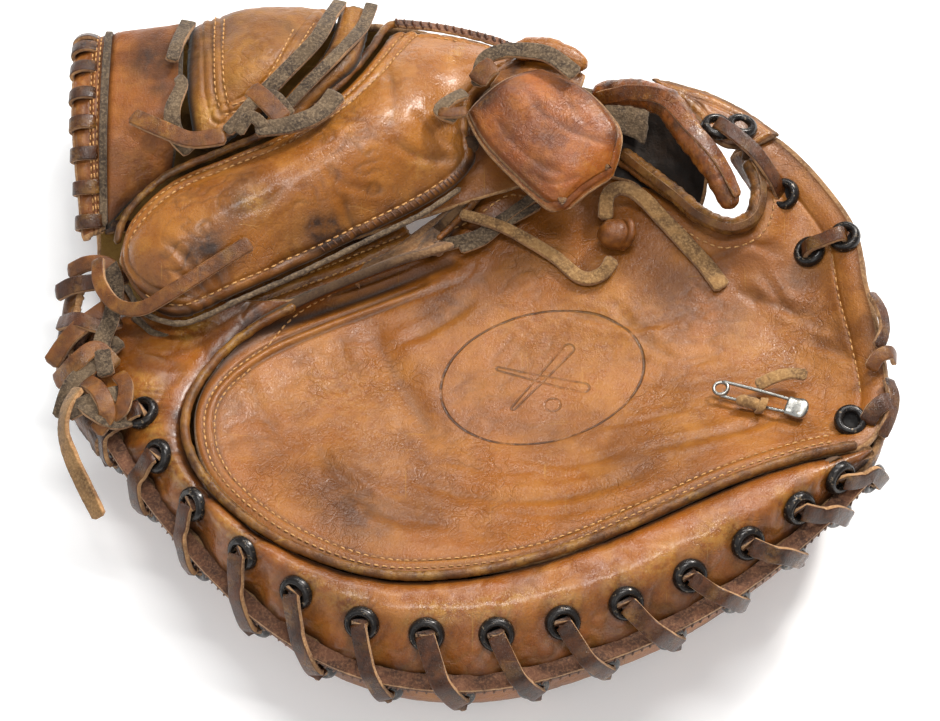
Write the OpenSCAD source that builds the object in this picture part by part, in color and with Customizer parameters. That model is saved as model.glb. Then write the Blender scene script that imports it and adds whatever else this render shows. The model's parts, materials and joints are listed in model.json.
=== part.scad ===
/* [Leather] */
// Thickness of the outer shell leather
leather_t = 3.0; // [2:0.1:3.4]
// Thickness of the inner lining leather
lining_t = 1.6; // [1:0.1:2]
// Height of the padded roll along the finger edge above its seams
rim_bulge = 9; // [5:0.5:11]
// Height of the padded thumb roll above its seams
thumb_bulge = 14; // [8:0.5:16]

/* [Lacing] */
// Width of the rawhide lace
lace_w = 6.2; // [5:0.1:6.6]
// Thickness of the rawhide lace
lace_t = 2.0; // [1.6:0.1:2.4]
// Outer radius of a lace eyelet
eyelet_r = 5.8; // [5:0.1:6]
// Radius of the rolled flange of an eyelet
eyelet_roll = 1.5; // [1.1:0.05:1.6]

/* [Wrist strap] */
// Width of the wrist strap
strap_w = 20; // [16:1:22]
// Radius of the buckle wire
buckle_wire = 1.4; // [1.1:0.1:1.5]

/* [Pin] */
// Wire radius of the safety pin that stops the palm lace
pin_r = 0.65; // [0.5:0.05:0.7]

/* [Hidden] */
$fn = 32;

// Fold axis of the mitt: a line at height axis_z through axis_p, at axis_a degrees from +X
axis_p = [-122, 7];
axis_a = 26.6;
axis_z = 40;

// ---- rails of the finger side, from the heel round the little finger side to the tip ----
// Inner seam of the rim roll
Q = [[-51, 20, 49], [-68, 11, 48], [-82, -2, 49], [-91, -19, 52], [-92, -36, 56], [-84, -54, 60], [-67, -72, 64], [-47, -84, 67],
     [-24, -91, 68], [0, -91, 69], [24, -86, 70], [48, -78, 71], [71, -67, 71], [95, -56, 71], [118, -48, 70], [136, -43, 67]];
// Outer seam of the rim, where palm leather meets back leather
E = [[-112, 20, 45], [-127, 14, 42], [-131, 2, 41], [-126, -13, 42], [-116, -31, 44], [-104, -50, 46], [-87, -73, 49], [-66, -96, 52],
     [-41, -114, 55], [-17, -122, 57], [10, -123, 58], [37, -117, 59], [65, -106, 60], [92, -90, 61], [117, -69, 62], [138, -47, 62]];
rim_rise = [3, 3, 3, 4, 5, 6, 8, 9, 9, 9, 9, 9, 9, 9, 8, 4];
// Lower seam of the palm panel, then the edge of the tip up to the web
PL = [[-3, 39, 50], [-24, 30, 50], [-50, 18, 50], [-72, 4, 51], [-87, -14, 54], [-90, -33, 58], [-83, -54, 62], [-61, -76, 67],
      [-31, -90, 69], [0, -91, 70], [31, -85, 71], [61, -72, 72], [92, -57, 72], [118, -48, 71], [136, -42, 68], [143, -24, 65],
      [141, 0, 63], [137, 20, 64], [134, 39, 65], [124, 56, 66], [111, 71, 67], [98, 81, 67]];
// Upper edge of the palm panel along the thumb crotch and round the web mouth
PU = [[-10, 42, 48], [0, 54, 46], [10, 66, 46], [20, 68, 46], [31, 65, 46], [43, 70, 47], [54, 75, 48], [64, 66, 51],
      [74, 56, 54], [82, 47.5, 56.5], [92, 41.5, 59.5], [100, 43, 62.5], [103, 50, 64.5], [102, 60, 65.5], [97, 76, 67]];
palm_dip = 11;
// Edge of the finger-side back, from the heel round to the web
FE = concat([for (i = [3:15]) E[i]], [[145, -26, 62], [144, -2, 60], [140, 20, 60], [137, 40, 61], [127, 58, 62], [113, 73, 62], [100, 83, 62]]);
// Inner edge of the finger-side back along the open middle
VL = [[-119, -4, 10], [-108, 2, 9], [-96, 8, 8], [-82, 15, 6], [-66, 24, 4], [-50, 32, 3], [-33, 40, 4], [-16, 48, 7], [0, 56, 12], [16, 61, 18],
      [33, 63, 22], [48, 64, 25], [60, 62, 28], [70, 56, 31], [80, 49, 34], [90, 44, 38], [99, 45, 43], [103, 52, 48], [102, 62, 52], [97, 74, 55]];

// ---- rails of the thumb side ----
DL = [[-115, 25, 55], [-108, 13, 58], [-94, 8, 60], [-75, 17, 60], [-54, 28, 59], [-34, 39, 59], [-14, 50, 59], [0, 60, 60],
      [6, 70, 61], [4, 80, 62], [7, 92, 63], [22, 104, 64]];
DU = [[-117, 37, 56], [-113, 48, 60], [-100, 60, 64], [-82, 68, 66], [-63, 76, 68], [-47, 87, 69], [-36, 100, 67], [-29, 113, 62],
      [-23, 125, 55], [-7, 124, 53], [10, 119, 54], [23, 111, 58]];
A0 = [[-130, 45, 50], [-122, 49, 51], [-112, 59, 53], [-100, 67, 54]];
A1 = [[-134, 82, 62], [-122, 83, 64], [-111, 86, 66], [-98, 90, 67]];
A2 = [[-135, 117, 54], [-122, 120, 56], [-111, 121, 58], [-98, 122, 60]];
A3 = [[-134, 124, 40], [-122, 127, 40], [-111, 128, 41], [-98, 129, 42]];
B0 = [[-91, 73, 65], [-81, 73, 68], [-68, 83, 70]];
B1 = [[-94, 93, 70], [-74, 98, 75], [-54, 105, 74]];
B2 = [[-94, 122, 60], [-70, 127, 62], [-45, 129, 62]];
B3 = [[-94, 130, 44], [-70, 133, 45], [-46, 134, 46]];
C0 = [[-72, 76, 67], [-60, 90, 71], [-47, 108, 69], [-42, 130, 60]];
C1 = [[-57, 77, 69], [-45, 91, 71], [-35, 104, 69], [-31, 129, 58]];
// Edge of the thumb-side back, from the wrist to the thumb tip, and its inner edge
TE = [[-134, 125, 39], [-111, 129, 40], [-94, 131, 42], [-70, 134, 43], [-46, 134, 44], [-27, 131, 49], [-7, 127, 49], [10, 122, 50], [22, 113, 54], [26, 106, 58]];
TV = [[-124, 22, 10], [-100, 33, 9], [-78, 42, 6], [-55, 53, 5], [-33, 65, 6], [-15, 76, 12], [-2, 86, 24], [8, 92, 36], [16, 97, 46], [23, 101, 54]];

// ---- lacing and trims ----
EYE_T = [3.4, 4.4, 5.4, 6.35, 7.2, 8.1, 9.0, 9.9, 10.75, 11.55, 12.35, 13.1, 13.8, 14.45];
EYE_S = [0.56, 0.6, 0.62, 0.64, 0.66, 0.67, 0.68, 0.7, 0.72, 0.74, 0.75, 0.75, 0.74, 0.72];
TIP_EYE = [[131, -33, 67], [119, 34.5, 59.6], [131, 37.5, 65], [110.5, 54, 64.2], [88.5, 76, 73.4], [97, 77, 72.2]];

// ---- curve and surface functions ----
function unit(v) = v / max(norm(v), 1e-9);
function cr(a, b, c, d, t) = 0.5 * ((2 * b) + (c - a) * t + (2 * a - 5 * b + 4 * c - d) * t * t + (3 * b - a - 3 * c + d) * t * t * t);
function at(p, t) = let (n = len(p) - 1, i = min(max(floor(t), 0), n - 1),
  a = i > 0 ? p[i - 1] : 2 * p[0] - p[1], d = i < n - 1 ? p[i + 2] : 2 * p[n] - p[n - 1]) cr(a, p[i], p[i + 1], d, t - i);
function along(p, f) = at(p, f * (len(p) - 1));
function path(p, n) = [for (i = [0:n - 1]) along(p, i / (n - 1))];
// grid of n by m points through a list of rails, over the shares t0..t1 along and s0..s1 across
function grid(rails, n, m, t0 = 0, t1 = 1, s0 = 0, s1 = 1) = [for (i = [0:n - 1]) let (c = [for (r = rails) along(r, t0 + (t1 - t0) * i / (n - 1))])
  [for (j = [0:m - 1]) along(c, s0 + (s1 - s0) * j / (m - 1))]];
function gn(g, i, j) = let (n = len(g), m = len(g[0]))
  unit(cross(g[min(i + 1, n - 1)][j] - g[max(i - 1, 0)][j], g[i][min(j + 1, m - 1)] - g[i][max(j - 1, 0)]));
// grid moved along its own normals, with k +1 or -1 chosen so that the middle moves down by a positive d
function moved(g, d, up = [0, 0, 1]) = let (n = len(g), m = len(g[0]), k = gn(g, floor(n / 2), floor(m / 2)) * up > 0 ? -1 : 1)
  [for (i = [0:n - 1]) [for (j = [0:m - 1]) g[i][j] + k * d * gn(g, i, j)]];
function lerp(a, b, f) = a + (b - a) * f;
K = [for (i = [0:15]) lerp(Q[i], E[i], 0.45) + [0, -0.15, 1] * rim_rise[i] * rim_bulge / 9];
function rim_rails() = [Q, K, E];
function rim_at(t, s) = at([at(Q, t), at(K, t), at(E, t)], s * 2);
function rim_n(t, s) = let (v = cross(rim_at(t, s + 0.02) - rim_at(t, s - 0.02), rim_at(t + 0.05, s) - rim_at(t - 0.05, s)), w = unit(v)) w.z < 0 ? -w : w;
function palm_grid(n, m, t0 = 0, t1 = 1, s0 = 0, s1 = 1) = [for (i = [0:n - 1]) let (t = t0 + (t1 - t0) * i / (n - 1), a = along(PL, t), b = along(PU, t))
  [for (j = [0:m - 1]) let (s = s0 + (s1 - s0) * j / (m - 1)) lerp(a, b, s) - [0, 0, palm_dip * sin(180 * s) * min(1, 4 * t) * min(1, 3 * (1 - t))]]];
function outward(p, i) = let (n = len(p) - 1, t = unit(p[min(i + 1, n)] - p[max(i - 1, 0)])) unit([t.y, -t.x, 0]);
// rail of the back wall at turn angle f from the seam, to the depth zb, over the width a
function wall(p, f, a, zb, dir = 1) = [for (i = [0:len(p) - 1]) p[i] - dir * outward(p, i) * a * (i > 13 ? 1 - 0.12 * (i - 13) : i < 5 ? 0.55 + 0.09 * i : 1) * (1 - cos(f)) - [0, 0, (p[i].z - zb(i)) * sin(f)]];
function fz(i) = i < 6 ? 9 - 1.5 * i : (i > 13 ? 8 * (i - 13) : 0);
function mid(p, q, f) = [for (i = [0:len(p) - 1]) lerp(p[i], q[i], f)];
function tz(i) = i < 3 ? 10 - 3.3 * i : (i > 6 ? 9 * (i - 6) : 0);
function back_rails() = let (w = wall(FE, 90, 33, function(i) fz(i))) [FE, wall(FE, 25, 30, function(i) fz(i)), wall(FE, 50, 30, function(i) fz(i)), wall(FE, 75, 30, function(i) fz(i)), w, mid(w, VL, 0.3), VL];
function tback_rails() = let (w = wall(TE, 90, 25, function(i) tz(i), -1)) [TE, wall(TE, 25, 22, function(i) tz(i), -1), wall(TE, 50, 22, function(i) tz(i), -1), wall(TE, 75, 22, function(i) tz(i), -1), w, mid(w, TV, 0.35), TV];
function flat(g, z) = [for (r = g) [for (p = r) [p.x, p.y, z]]];
function lowered(g, d) = [for (r = g) [for (p = r) p - [0, 0, d]]];
function ease(a, b, x) = let (f = min(max((x - a) / (b - a), 0), 1)) f * f * (3 - 2 * f);
// underside of the palm padding: flat over the hand, rising toward the web mouth
function under(g, z) = let (n = len(g) - 1, m = len(g[0]) - 1) [for (i = [0:n]) [for (j = [0:m]) [g[i][j].x, g[i][j].y, z + 7 * ease(0.25, 0.6, i / n) * ease(0.4, 0.95, j / m)]]];

// closed solid between two grids of the same size; end_first lists its walls before its top
module between(top, bot, end_first = false) {
  n = len(top); m = len(top[0]); o = n * m; c = [floor(n / 2), floor(m / 2)];
  s = cross(top[c.x + 1][c.y] - top[c.x - 1][c.y], top[c.x][min(c.y + 1, m - 1)] - top[c.x][max(c.y - 1, 0)]) * (top[c.x][c.y] - bot[c.x][c.y]) > 0;
  w = concat(
    [for (i = [0:n - 2], j = [0:m - 2]) each [[i * m + j, i * m + j + 1, (i + 1) * m + j + 1], [i * m + j, (i + 1) * m + j + 1, (i + 1) * m + j]]],
    [for (i = [0:n - 2], j = [0:m - 2]) each [[o + (i + 1) * m + j + 1, o + i * m + j + 1, o + i * m + j], [o + (i + 1) * m + j, o + (i + 1) * m + j + 1, o + i * m + j]]],
    [for (i = [0:n - 2]) each [[i * m, (i + 1) * m, o + (i + 1) * m], [i * m, o + (i + 1) * m, o + i * m]]],
    [for (i = [0:n - 2]) let (a = i * m + m - 1, b = (i + 1) * m + m - 1) each [[b, a, o + a], [b, o + a, o + b]]],
    [for (j = [0:m - 2]) each [[j + 1, j, o + j], [j + 1, o + j, o + j + 1]]],
    [for (j = [0:m - 2]) let (a = (n - 1) * m + j) each [[a, a + 1, o + a + 1], [a, o + a + 1, o + a]]]);
  f = end_first ? [for (i = [len(w) - 1:-1:0]) w[i]] : w;
  polyhedron(points = concat([for (r = top) each r], [for (r = bot) each r]), faces = s ? f : [for (t = f) [t[2], t[1], t[0]]]);
}
module sheet(g, t, up = [0, 0, 1]) between(g, moved(g, t, up));
// a section swept along a path, its second axis kept near ref
module sweep(p, sec, ref = [0, 0, 1]) {
  n = len(p); k = len(sec);
  pts = [for (i = [0:n - 1]) let (r = is_list(ref[0]) ? ref[i] : ref, t = unit(p[min(i + 1, n - 1)] - p[max(i - 1, 0)]), u = unit(cross(r, t)), v = cross(t, u)) each [for (q = sec) p[i] + q.x * u + q.y * v]];
  polyhedron(points = pts, faces = concat([[for (a = [0:k - 1]) a]], [[for (a = [k - 1:-1:0]) (n - 1) * k + a]],
    [for (i = [0:n - 2], a = [0:k - 1]) let (b = (a + 1) % k) each [[i * k + a, (i + 1) * k + a, (i + 1) * k + b], [i * k + a, (i + 1) * k + b, i * k + b]]]));
}
function ring(r, k) = [for (a = [0:k - 1]) r * [cos(360 * a / k), sin(360 * a / k)]];
function band(w, t) = [[-w / 2, -t / 2], [w / 2, -t / 2], [w / 2, t / 2], [-w / 2, t / 2]];
module tube(p, r, k = 6, ref = [0, 0, 1]) sweep(p, ring(r, k), ref);
module lace(p, ref = [0, 0, 1], w = lace_w, t = lace_t) sweep(p, band(w, t), ref);
module aim(p, n) translate(p) rotate([0, acos(n.z), atan2(n.y, n.x)]) children();
// the origin is moved to the middle of the resting box, on the surface the mitt lies on
module put() translate([-4.15, -1.95, 1]) children();
module eyelet(p, n) aim(p, n) rotate_extrude() translate([eyelet_r - eyelet_roll, 0]) circle(eyelet_roll, $fn = 24);

// ---- finger side ----
PANEL = palm_grid(34, 10, 0, 1, 0.015, 0.99);
RIM = grid(rim_rails(), 34, 7, 0, 1, 0.03, 0.97);
module palm_panel() color("#b5713a") put() sheet(PANEL, leather_t);
module rim_cover() color("#b56a30") put() sheet(RIM, leather_t);
module palm_piping() color("#7a4a28") put() tube([for (i = [0:35]) at(Q, 0.3 + 14.5 * i / 35) + [0, 0, 2.6]], 1.6, 6);
module thumb_crotch_band() color("#b8743c") put() sheet(grid([[[-112, 15, 47], [-101, 8, 46], [-80, 13, 46], [-52, 24, 46], [-26, 36, 45], [-14, 42, 44]],
  [[-106, 22, 44], [-94, 20, 43], [-77, 28, 43], [-54, 40, 43], [-34, 50, 42], [-22, 56, 42]]], 14, 3), 2);
PADG = palm_grid(19, 6, 0.1, 0.74, 0.15, 0.82);
module palm_pad() color("#d9cdb4") put() between(lowered(PADG, leather_t + 1.4), under(PADG, 32.4), end_first = true);
module palm_lining() color("#c49a66") put() between(under(PADG, 31.8), under(PADG, 31.8 - lining_t));
module rim_pad() color("#d9cdb4") put() let (g = grid(rim_rails(), 28, 5, 0.24, 0.93, 0.16, 0.7))
  between(moved(g, leather_t + 0.7), [for (i = [0:27]) [for (j = [0:4]) let (p = g[i][j]) [p.x, p.y, 44]]]);
BACK = grid(back_rails(), 34, 10, 0, 1, 0.012, 1);
module finger_back() color("#a9642e") put() sheet(BACK, leather_t, [0, 0, -1]);
// wall of the hand stall between the palm lining and the back, along the index finger
module index_gusset() color("#c49a66") put() sheet(grid([[[-22, 33, 30], [-4, 40, 30.1], [18, 46, 30.4], [40, 46, 31.6]], [[-22, 33, 8.2], [-4, 40, 12.4], [18, 46, 19], [40, 46, 24]]], 9, 3), lining_t, [-0.4, 0.9, 0]);
module finger_dividers() color("#c49a66") put() for (d = [[-62, 4.5, 4.2], [-31, 7.1, 9.1], [0, 10.1, 15.5]])
  translate([0, d[0], 0]) rotate([90, 0, 0]) linear_extrude(lining_t + 1) polygon([[10, d[1]], [58, d[2]], [58, 30.3], [10, 30.3]]);
module edge_welt() color("#6b3a1e") put() sweep([for (i = [0:39]) at(E, 1 + 13.8 * i / 39) + outward(E, round(1 + 13.8 * i / 39)) * 1.2 + [0, 0, -0.6]], band(5, 3.6), [0, 0, 1]);
TIP_N = [[0.1, -0.1, 1], [-0.45, 0, 1], [-0.3, 0, 1], [-0.45, -0.3, 1], [0.2, 0.3, 1], [0.2, 0.4, 1]];
module palm_side_eyelets() color("#1c1714") put() {
  for (k = [0:len(EYE_T) - 1]) eyelet(rim_at(EYE_T[k], EYE_S[k]) + 1.7 * rim_n(EYE_T[k], EYE_S[k]), rim_n(EYE_T[k], EYE_S[k]));
  for (k = [0:5]) eyelet(TIP_EYE[k], unit(TIP_N[k]));
}
function back_eye(k) = let (t = EYE_T[k] + 0.62, o = outward(E, min(15, round(t)))) at(E, min(t, 15)) + o * 1.9 + [0, 0, -11];
module back_side_eyelets() color("#1c1714") put() for (k = [0:len(EYE_T) - 1]) let (o = outward(E, min(15, round(EYE_T[k] + 0.62))))
  eyelet(back_eye(k), unit(o + [0, 0, 0.12]));
module rim_lace() color("#5d3019") put() for (k = [0:len(EYE_T) - 1]) let (a = rim_at(EYE_T[k], EYE_S[k]), n = rim_n(EYE_T[k], EYE_S[k]), b = back_eye(k), o = outward(E, min(15, round(EYE_T[k] + 0.62))),
    m = at(E, EYE_T[k] + 0.42), mo = unit(o + [0, 0, 0.9]))
  lace(path([a - 3 * n, a + 2.6 * n, lerp(a, m, 0.55) + 4.2 * unit(n + o * 0.5), m + mo * 5.6, b + o * 3.4 + [0, 0, 3.4], b - o * 2.6], 13), [for (i = [0:12]) i < 2 ? o : (i > 10 ? [0, 0, 1] : unit(lerp(n, o, i / 12)))], lace_w - 1, lace_t);
// heel: the folded binding and criss-cross lacing at the wrist end of the finger side
module heel_binding() color("#9a7a50") put() sheet(grid([[[-131, 30, 45], [-133, 16, 46], [-134, 2, 45], [-129, -14, 46], [-120, -29, 48]],
  [[-136, 30, 38], [-138, 16, 37], [-139, 2, 36], [-134, -15, 36], [-124, -32, 38]]], 12, 3), 3.2, [-1, 0, 0.3]);
module heel_lace() color("#5d3019") put() {
  lace(path([[-114, 30, 50], [-124, 27, 50], [-133, 26, 49], [-139, 25, 45]], 7));
  lace(path([[-114, 22, 51], [-124, 14, 50], [-133, 6, 50], [-140, -2, 45]], 7));
  lace(path([[-116, 5, 50], [-124, -4, 50], [-132, -13, 49.5], [-136, -22, 44]], 7));
}
module heel_lace_tails() color("#8a6a42") put() {
  lace(path([[-133, -24, 52], [-127, -22, 55], [-118, -19, 56], [-111, -17, 54]], 7));
  lace(path([[-135, -27, 50], [-132, -36, 48], [-128, -45, 45], [-122, -56, 40]], 8), [-1, 0, 0.6]);
}
module tip_lace() color("#8a6a42") put() {
  lace(path([[143, -40, 64], [147, -31, 66], [148, -22, 66], [147, -13, 65]], 7), [0.8, 0, 1]);
  lace(path([[143, -6, 66], [146, 2, 66], [145, 11, 67], [141, 20, 68]], 7), [0.8, 0, 1]);
  lace(path([[118, 34, 55], [118.6, 34.5, 62], [124, 35.5, 65.8], [130, 37, 68], [132, 37.5, 61]], 11), [for (i = [0:10]) i < 2 ? [-1, 0, 0] : i > 8 ? [1, 0, 0.3] : [-0.3, 0, 1]], 5);
}
module web_anchor_lace() color("#8a5a34") put() lace(path([[88.5, 77, 69], [89.5, 75, 75.5], [100, 66, 74.5], [107, 58, 69], [111, 53.5, 60]], 12), [for (i = [0:11]) i < 2 ? [-1, 0.6, 0] : i > 9 ? [1, -0.6, 0.4] : [0.1, 0, 1]], 4.6);
module web_edge_strap() color("#9a5426") put() sheet(grid([[[67, 95, 72], [84, 89.5, 72.5], [97, 84, 70.5], [109, 75, 69.5]], [[69, 91.5, 72], [80, 82, 72.8], [89, 71, 71.5], [100, 69, 70]]], 8, 4), 2);
module web_roll() color("#6a3216") put() tube(path([[46, 92.5, 64.5], [53, 91.5, 68], [61, 89, 72], [71, 82, 77], [78, 70, 78.5], [86, 58, 77], [91, 48, 74], [93, 44, 72]], 16), 4.5, 10);
module web_cord() color("#8a5636") put() tube(path([[56, 77, 52], [64.6, 67.8, 54], [74.8, 56.8, 57.5], [82.3, 48, 60], [91.8, 42, 62.8], [99.3, 43.5, 65.5], [102, 50, 67.5], [101.3, 58, 68], [98, 64.5, 68]], 20), 2.9, 8);
module palm_tie_lace() color("#a08a58") put() {
  lace(path([[0, 54, 49], [9, 51, 49.4], [17.7, 47.5, 48.6], [32, 38.5, 47.6], [41.6, 29.8, 48], [48.6, 30.2, 49.8], [52.7, 35.5, 52]], 15), [0.1, 0, 1], 5.6);
  lace(path([[50, 50, 52], [51, 58, 55], [56, 60.3, 56.5], [63, 57, 55], [70, 49.5, 53.2], [77, 41, 53.4], [84, 32, 53.2], [90, 23.2, 53]], 17), [0, 0.05, 1], 6);
}
module palm_tie_knot() color("#8a4a24") put() tube([[47.5, 43.5, 53], [59.5, 43.5, 53.4]], 4.3, 12);
module crotch_lace() color("#8a7a50") put() lace(path([[26.5, 61.5, 48.5], [12.2, 51, 46.4], [5.8, 46.6, 46], [-3.7, 43.4, 46.5], [-10.2, 41.4, 47.8]], 9), [0, 0, 1], 5);
// ---- safety pin in its knotted thong ----
PIN = [88, -18.5, 60.6];
module at_pin() translate(PIN) rotate([0, 0, -21]) rotate([0, -10, 0]) children();
module pin_thong() color("#b09468") put() {
  tube(path([[97, -25, 56], [97.6, -24.4, 57.2], [98, -24, 58.6]], 4), 1.9, 8, [0, 1, 0]);
  lace(path([[100, -18, 61.2], [105, -15.5, 62], [111, -14, 62.6], [117, -15, 63.6]], 7), [0, 0, 1], 4, 1.6);
}
module pin_wire() color("#c8c8c8") put() at_pin() {
  rotate_extrude() translate([2.4, 0]) circle(pin_r, $fn = 24);
  translate([0, 2.4, 0]) rotate([0, 90, 0]) cylinder(r = pin_r, h = 28);
  translate([0, -2.4, 0]) rotate([0, 90, 0]) cylinder(r = pin_r, h = 26);
}
module pin_cap() color("#d0d0d0") put() at_pin() translate([26.8, 0, 0]) difference() {
  union() { translate([-3, -3.9, -1.3]) cube([4, 7.8, 2.6]); translate([1, 0, -1.3]) cylinder(r = 3.9, h = 2.6); }
  translate([-4, -3.1, -0.7]) cube([6.5, 6.2, 1.4]);
}
module pin_knot() color("#a88858") put() at_pin() translate([6.5, -2.4, 0]) rotate([0, 90, 0]) difference() {
  cylinder(r = 1.9, h = 10);
  translate([0, 0, -1]) cylinder(r = pin_r + 0.02, h = 12);
}

// ---- wrist strap and buckle on the back ----
SX = -97;
HY = -8.2;
HZ = 4.6;
module sideways(w) translate([SX - w / 2, 0, 0]) rotate([90, 0, 90]) linear_extrude(w) children();
module strap_base() color("#8a5228") put() difference() {
  sideways(strap_w) polygon([[-30, 5.2], [-13, 5.2], [-11.2, 3.2], [-10, 2.3], [-6.4, 2.3], [-5.4, 3.6], [-5.4, 5.6], [-6.4, 6.9], [-10, 7.4], [-30, 7.6]]);
  translate([SX - 30, HY, HZ]) rotate([0, 90, 0]) cylinder(r = buckle_wire + 0.15, h = 60);
  translate([SX - 3.2, -13, 0]) cube([6.4, 9, 10]);
}
module buckle_frame() color("#b8a070") put() {
  for (y = [HY, 10.4]) translate([SX - 13, y, HZ - (y > 0 ? 1.2 : 0)]) rotate([0, 90, 0]) cylinder(r = buckle_wire, h = 26);
  for (x = [-13, 13]) hull() { translate([SX + x, HY, HZ]) sphere(r = buckle_wire, $fn = 16); translate([SX + x, 10.4, HZ - 1.2]) sphere(r = buckle_wire, $fn = 16); }
}
module buckle_prong() color("#c8b080") put() {
  translate([SX - 1.8, HY, HZ]) rotate([0, 90, 0]) difference() { cylinder(r = buckle_wire + 1.2, h = 3.6); translate([0, 0, -1]) cylinder(r = buckle_wire + 0.3, h = 6); }
  translate([SX, HY + 1.9, HZ - 1.3]) rotate([-98.6, 0, 0]) cylinder(r = 0.9, h = 18.6);
}
module wrist_strap() color("#8a5228") put() difference() {
  sideways(strap_w - 2) polygon([[15.5, 7.9], [9.4, 7.9], [6, 7], [0.6, 2.4], [-4, 1.5], [-8.2, 1.2], [-13, 2.7], [-16, 4.4], [-34, 4.8], [-34, 2.6], [-16, 2.4], [-13, 0.9], [-8.2, -1], [-3.8, -0.8], [2.2, 0.6], [8, 5.2], [9.8, 5.7], [15.5, 5.7]]);
  for (y = [-6, 4]) translate([SX, y, -2]) cylinder(r = 1.7, h = 14);
  translate([SX - 1.7, -6, -2]) cube([3.4, 10, 14]);
  for (y = [-19, -29]) translate([SX, y, -2]) cylinder(r = 1.7, h = 14);
}
module strap_keeper() color("#7a4522") put() translate([SX, -22, 0]) difference() {
  translate([-strap_w / 2 - 2, -3, 1]) cube([strap_w + 4, 6, 8.4]);
  translate([-strap_w / 2 - 0.5, -4, 2.1]) cube([strap_w + 1, 8, 10]);
}
module strap_rivets() color("#b08a50") put() for (x = [-6, 6]) translate([SX + x, -14.6, 4.7]) cylinder(r = 2.2, h = 3.4);

// ---- thumb side ----
function thumb_rails() = [DL, [for (i = [0:11]) lerp(DL[i], DU[i], 0.5) + [0, 0, thumb_bulge * [0.25, 0.55, 0.85, 1, 1, 1, 1, 0.9, 0.75, 0.6, 0.5, 0.2][i]]], DU];
THUMB = grid(thumb_rails(), 26, 8, 0, 1, 0.02, 0.97);
module thumb_panel() color("#b06c34") put() sheet(THUMB, leather_t);
module thumb_piping() color("#7a4a28") put() tube([for (i = [0:23]) at(DU, 0.2 + 8.2 * i / 23) + [0, 0, -0.6] + outward(DU, round(0.2 + 8.2 * i / 23)) * -1.4], 1.3, 6);
module thumb_pad() color("#d9cdb4") put() let (g = grid(thumb_rails(), 18, 5, 0.22, 0.88, 0.2, 0.84)) between(moved(g, leather_t + 0.6), flat(g, 53));
module thumb_lining() color("#c49a66") put() let (g = grid(thumb_rails(), 18, 5, 0.24, 0.88, 0.24, 0.84)) between(flat(g, 52.6), flat(g, 52.6 - lining_t));
module thumb_edge_strip() color("#b4743e") put() sheet(grid([C0, C1], 9, 3), 2.4);
module thumb_gusset() color("#b8783f") put() sheet(grid([B0, B1, B2, B3], 7, 10), 2.6);
module wrist_cuff() color("#b06c34") put() sheet(grid([[for (r = [A0]) each r], A1, A2, A3], 8, 10, 0.32, 1), 2.6);
module cuff_facing() color("#b8783f") put() sheet(grid([A0, A1, A2, A3], 4, 10, 0, 0.27), 2.8);
module cuff_welt() color("#8f8260") put() tube([for (j = [0:11]) let (s = j / 11, c = [for (r = [A0, A1, A2, A3]) along(r, 0.295)]) along(c, s) + [0, 0, 0.3]], 1.0, 6, [1, 0, 0.2]);
// whip lace round the folded edge of the cuff, then on round the wrist edge of the thumb back
function cuff_at(s) = along([for (r = [A0, A1, A2, A3]) along(r, 0.09)], s);
function tb_at(s) = along([for (r = tback_rails()) along(r, 0.02)], s);
module whip(p, u) lace([for (a = [-70:20:250]) p + [-1, 0, 0] * 4.6 * cos(a - 90) + u * 3.1 * sin(a - 90)], [for (a = [-70:20:250]) [-1, 0, 0] * 3.1 * cos(a - 90) + u * 4.6 * sin(a - 90)], 5, 1.5);
module cuff_whip_lace() color("#4f2a17") put() {
  for (k = [0:9]) let (s = 0.03 + 0.1 * k, t = unit(cuff_at(s + 0.01) - cuff_at(s - 0.01)), u = unit(cross([1, 0, 0], t))) whip(cuff_at(s) - 1.4 * u + [0.4, 0, 0], u);
  for (k = [0:8]) let (s = 0.08 + 0.1 * k, t = unit(tb_at(s + 0.01) - tb_at(s - 0.01)), u = unit(cross([1, 0, 0], t))) whip(tb_at(s) - 1.5 * u + [2.6, 0, 0], u);
}
TBACK = grid(tback_rails(), 26, 9, 0, 1, 0.012, 1);
module thumb_back() color("#a9642e") put() sheet(TBACK, leather_t, [0, 0, -1]);
module thumb_lace() color("#8a7a50") put() {
  lace(path([[-95, 124, 60], [-98, 112, 67], [-100, 102, 71]], 6), [0, 0, 1], 5);
  lace(path([[-96, 92, 72], [-99, 82, 72], [-97, 73, 69], [-92, 68, 68]], 7), [0, 0, 1], 6);
  lace(path([[-42, 132, 60], [-45, 122, 68], [-50, 108, 75], [-60, 95, 76], [-68, 86, 75]], 9), [0, 0, 1], 4.5);
  lace(path([[-31, 131, 60], [-34, 118, 67], [-41, 104, 75], [-52, 90, 77], [-62, 79, 74]], 9), [0, 0, 1], 4.5);
}
module thumb_lace_knot() color("#9a5a34") put() {
  lace(path([[-113, 79, 70], [-101, 72, 74], [-88, 67, 76], [-76, 68, 78]], 8), [0, 0, 1], 6);
  lace(path([[-76, 74, 79], [-70, 80, 80], [-64, 82, 80], [-58, 76, 79]], 7), [0, 0, 1], 6);
  lace(path([[-70, 70, 80], [-58, 72, 80], [-48, 77, 79], [-40, 84, 80]], 7), [0, 0, 1], 6);
}
module strap_anchor() color("#8a5228") put() translate([SX - (strap_w - 2) / 2, 22, 5]) cube([strap_w - 2, 36, 2.4]);
module heel_tie_tail() color("#8a6a42") put() lace(path([[-124, 33, 56], [-123, 23, 57], [-117, 14, 58.5], [-108, 11, 62], [-97, 15, 67.5], [-84, 22.5, 71], [-71, 30, 74]], 14), [0, -0.3, 1], 5);
module thumb_web_tab() color("#b47c48") put() tube(path([[21, 112, 66], [26, 112, 67.5], [31, 111, 68], [36, 109, 68.5]], 7), 3.2, 8);

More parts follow.
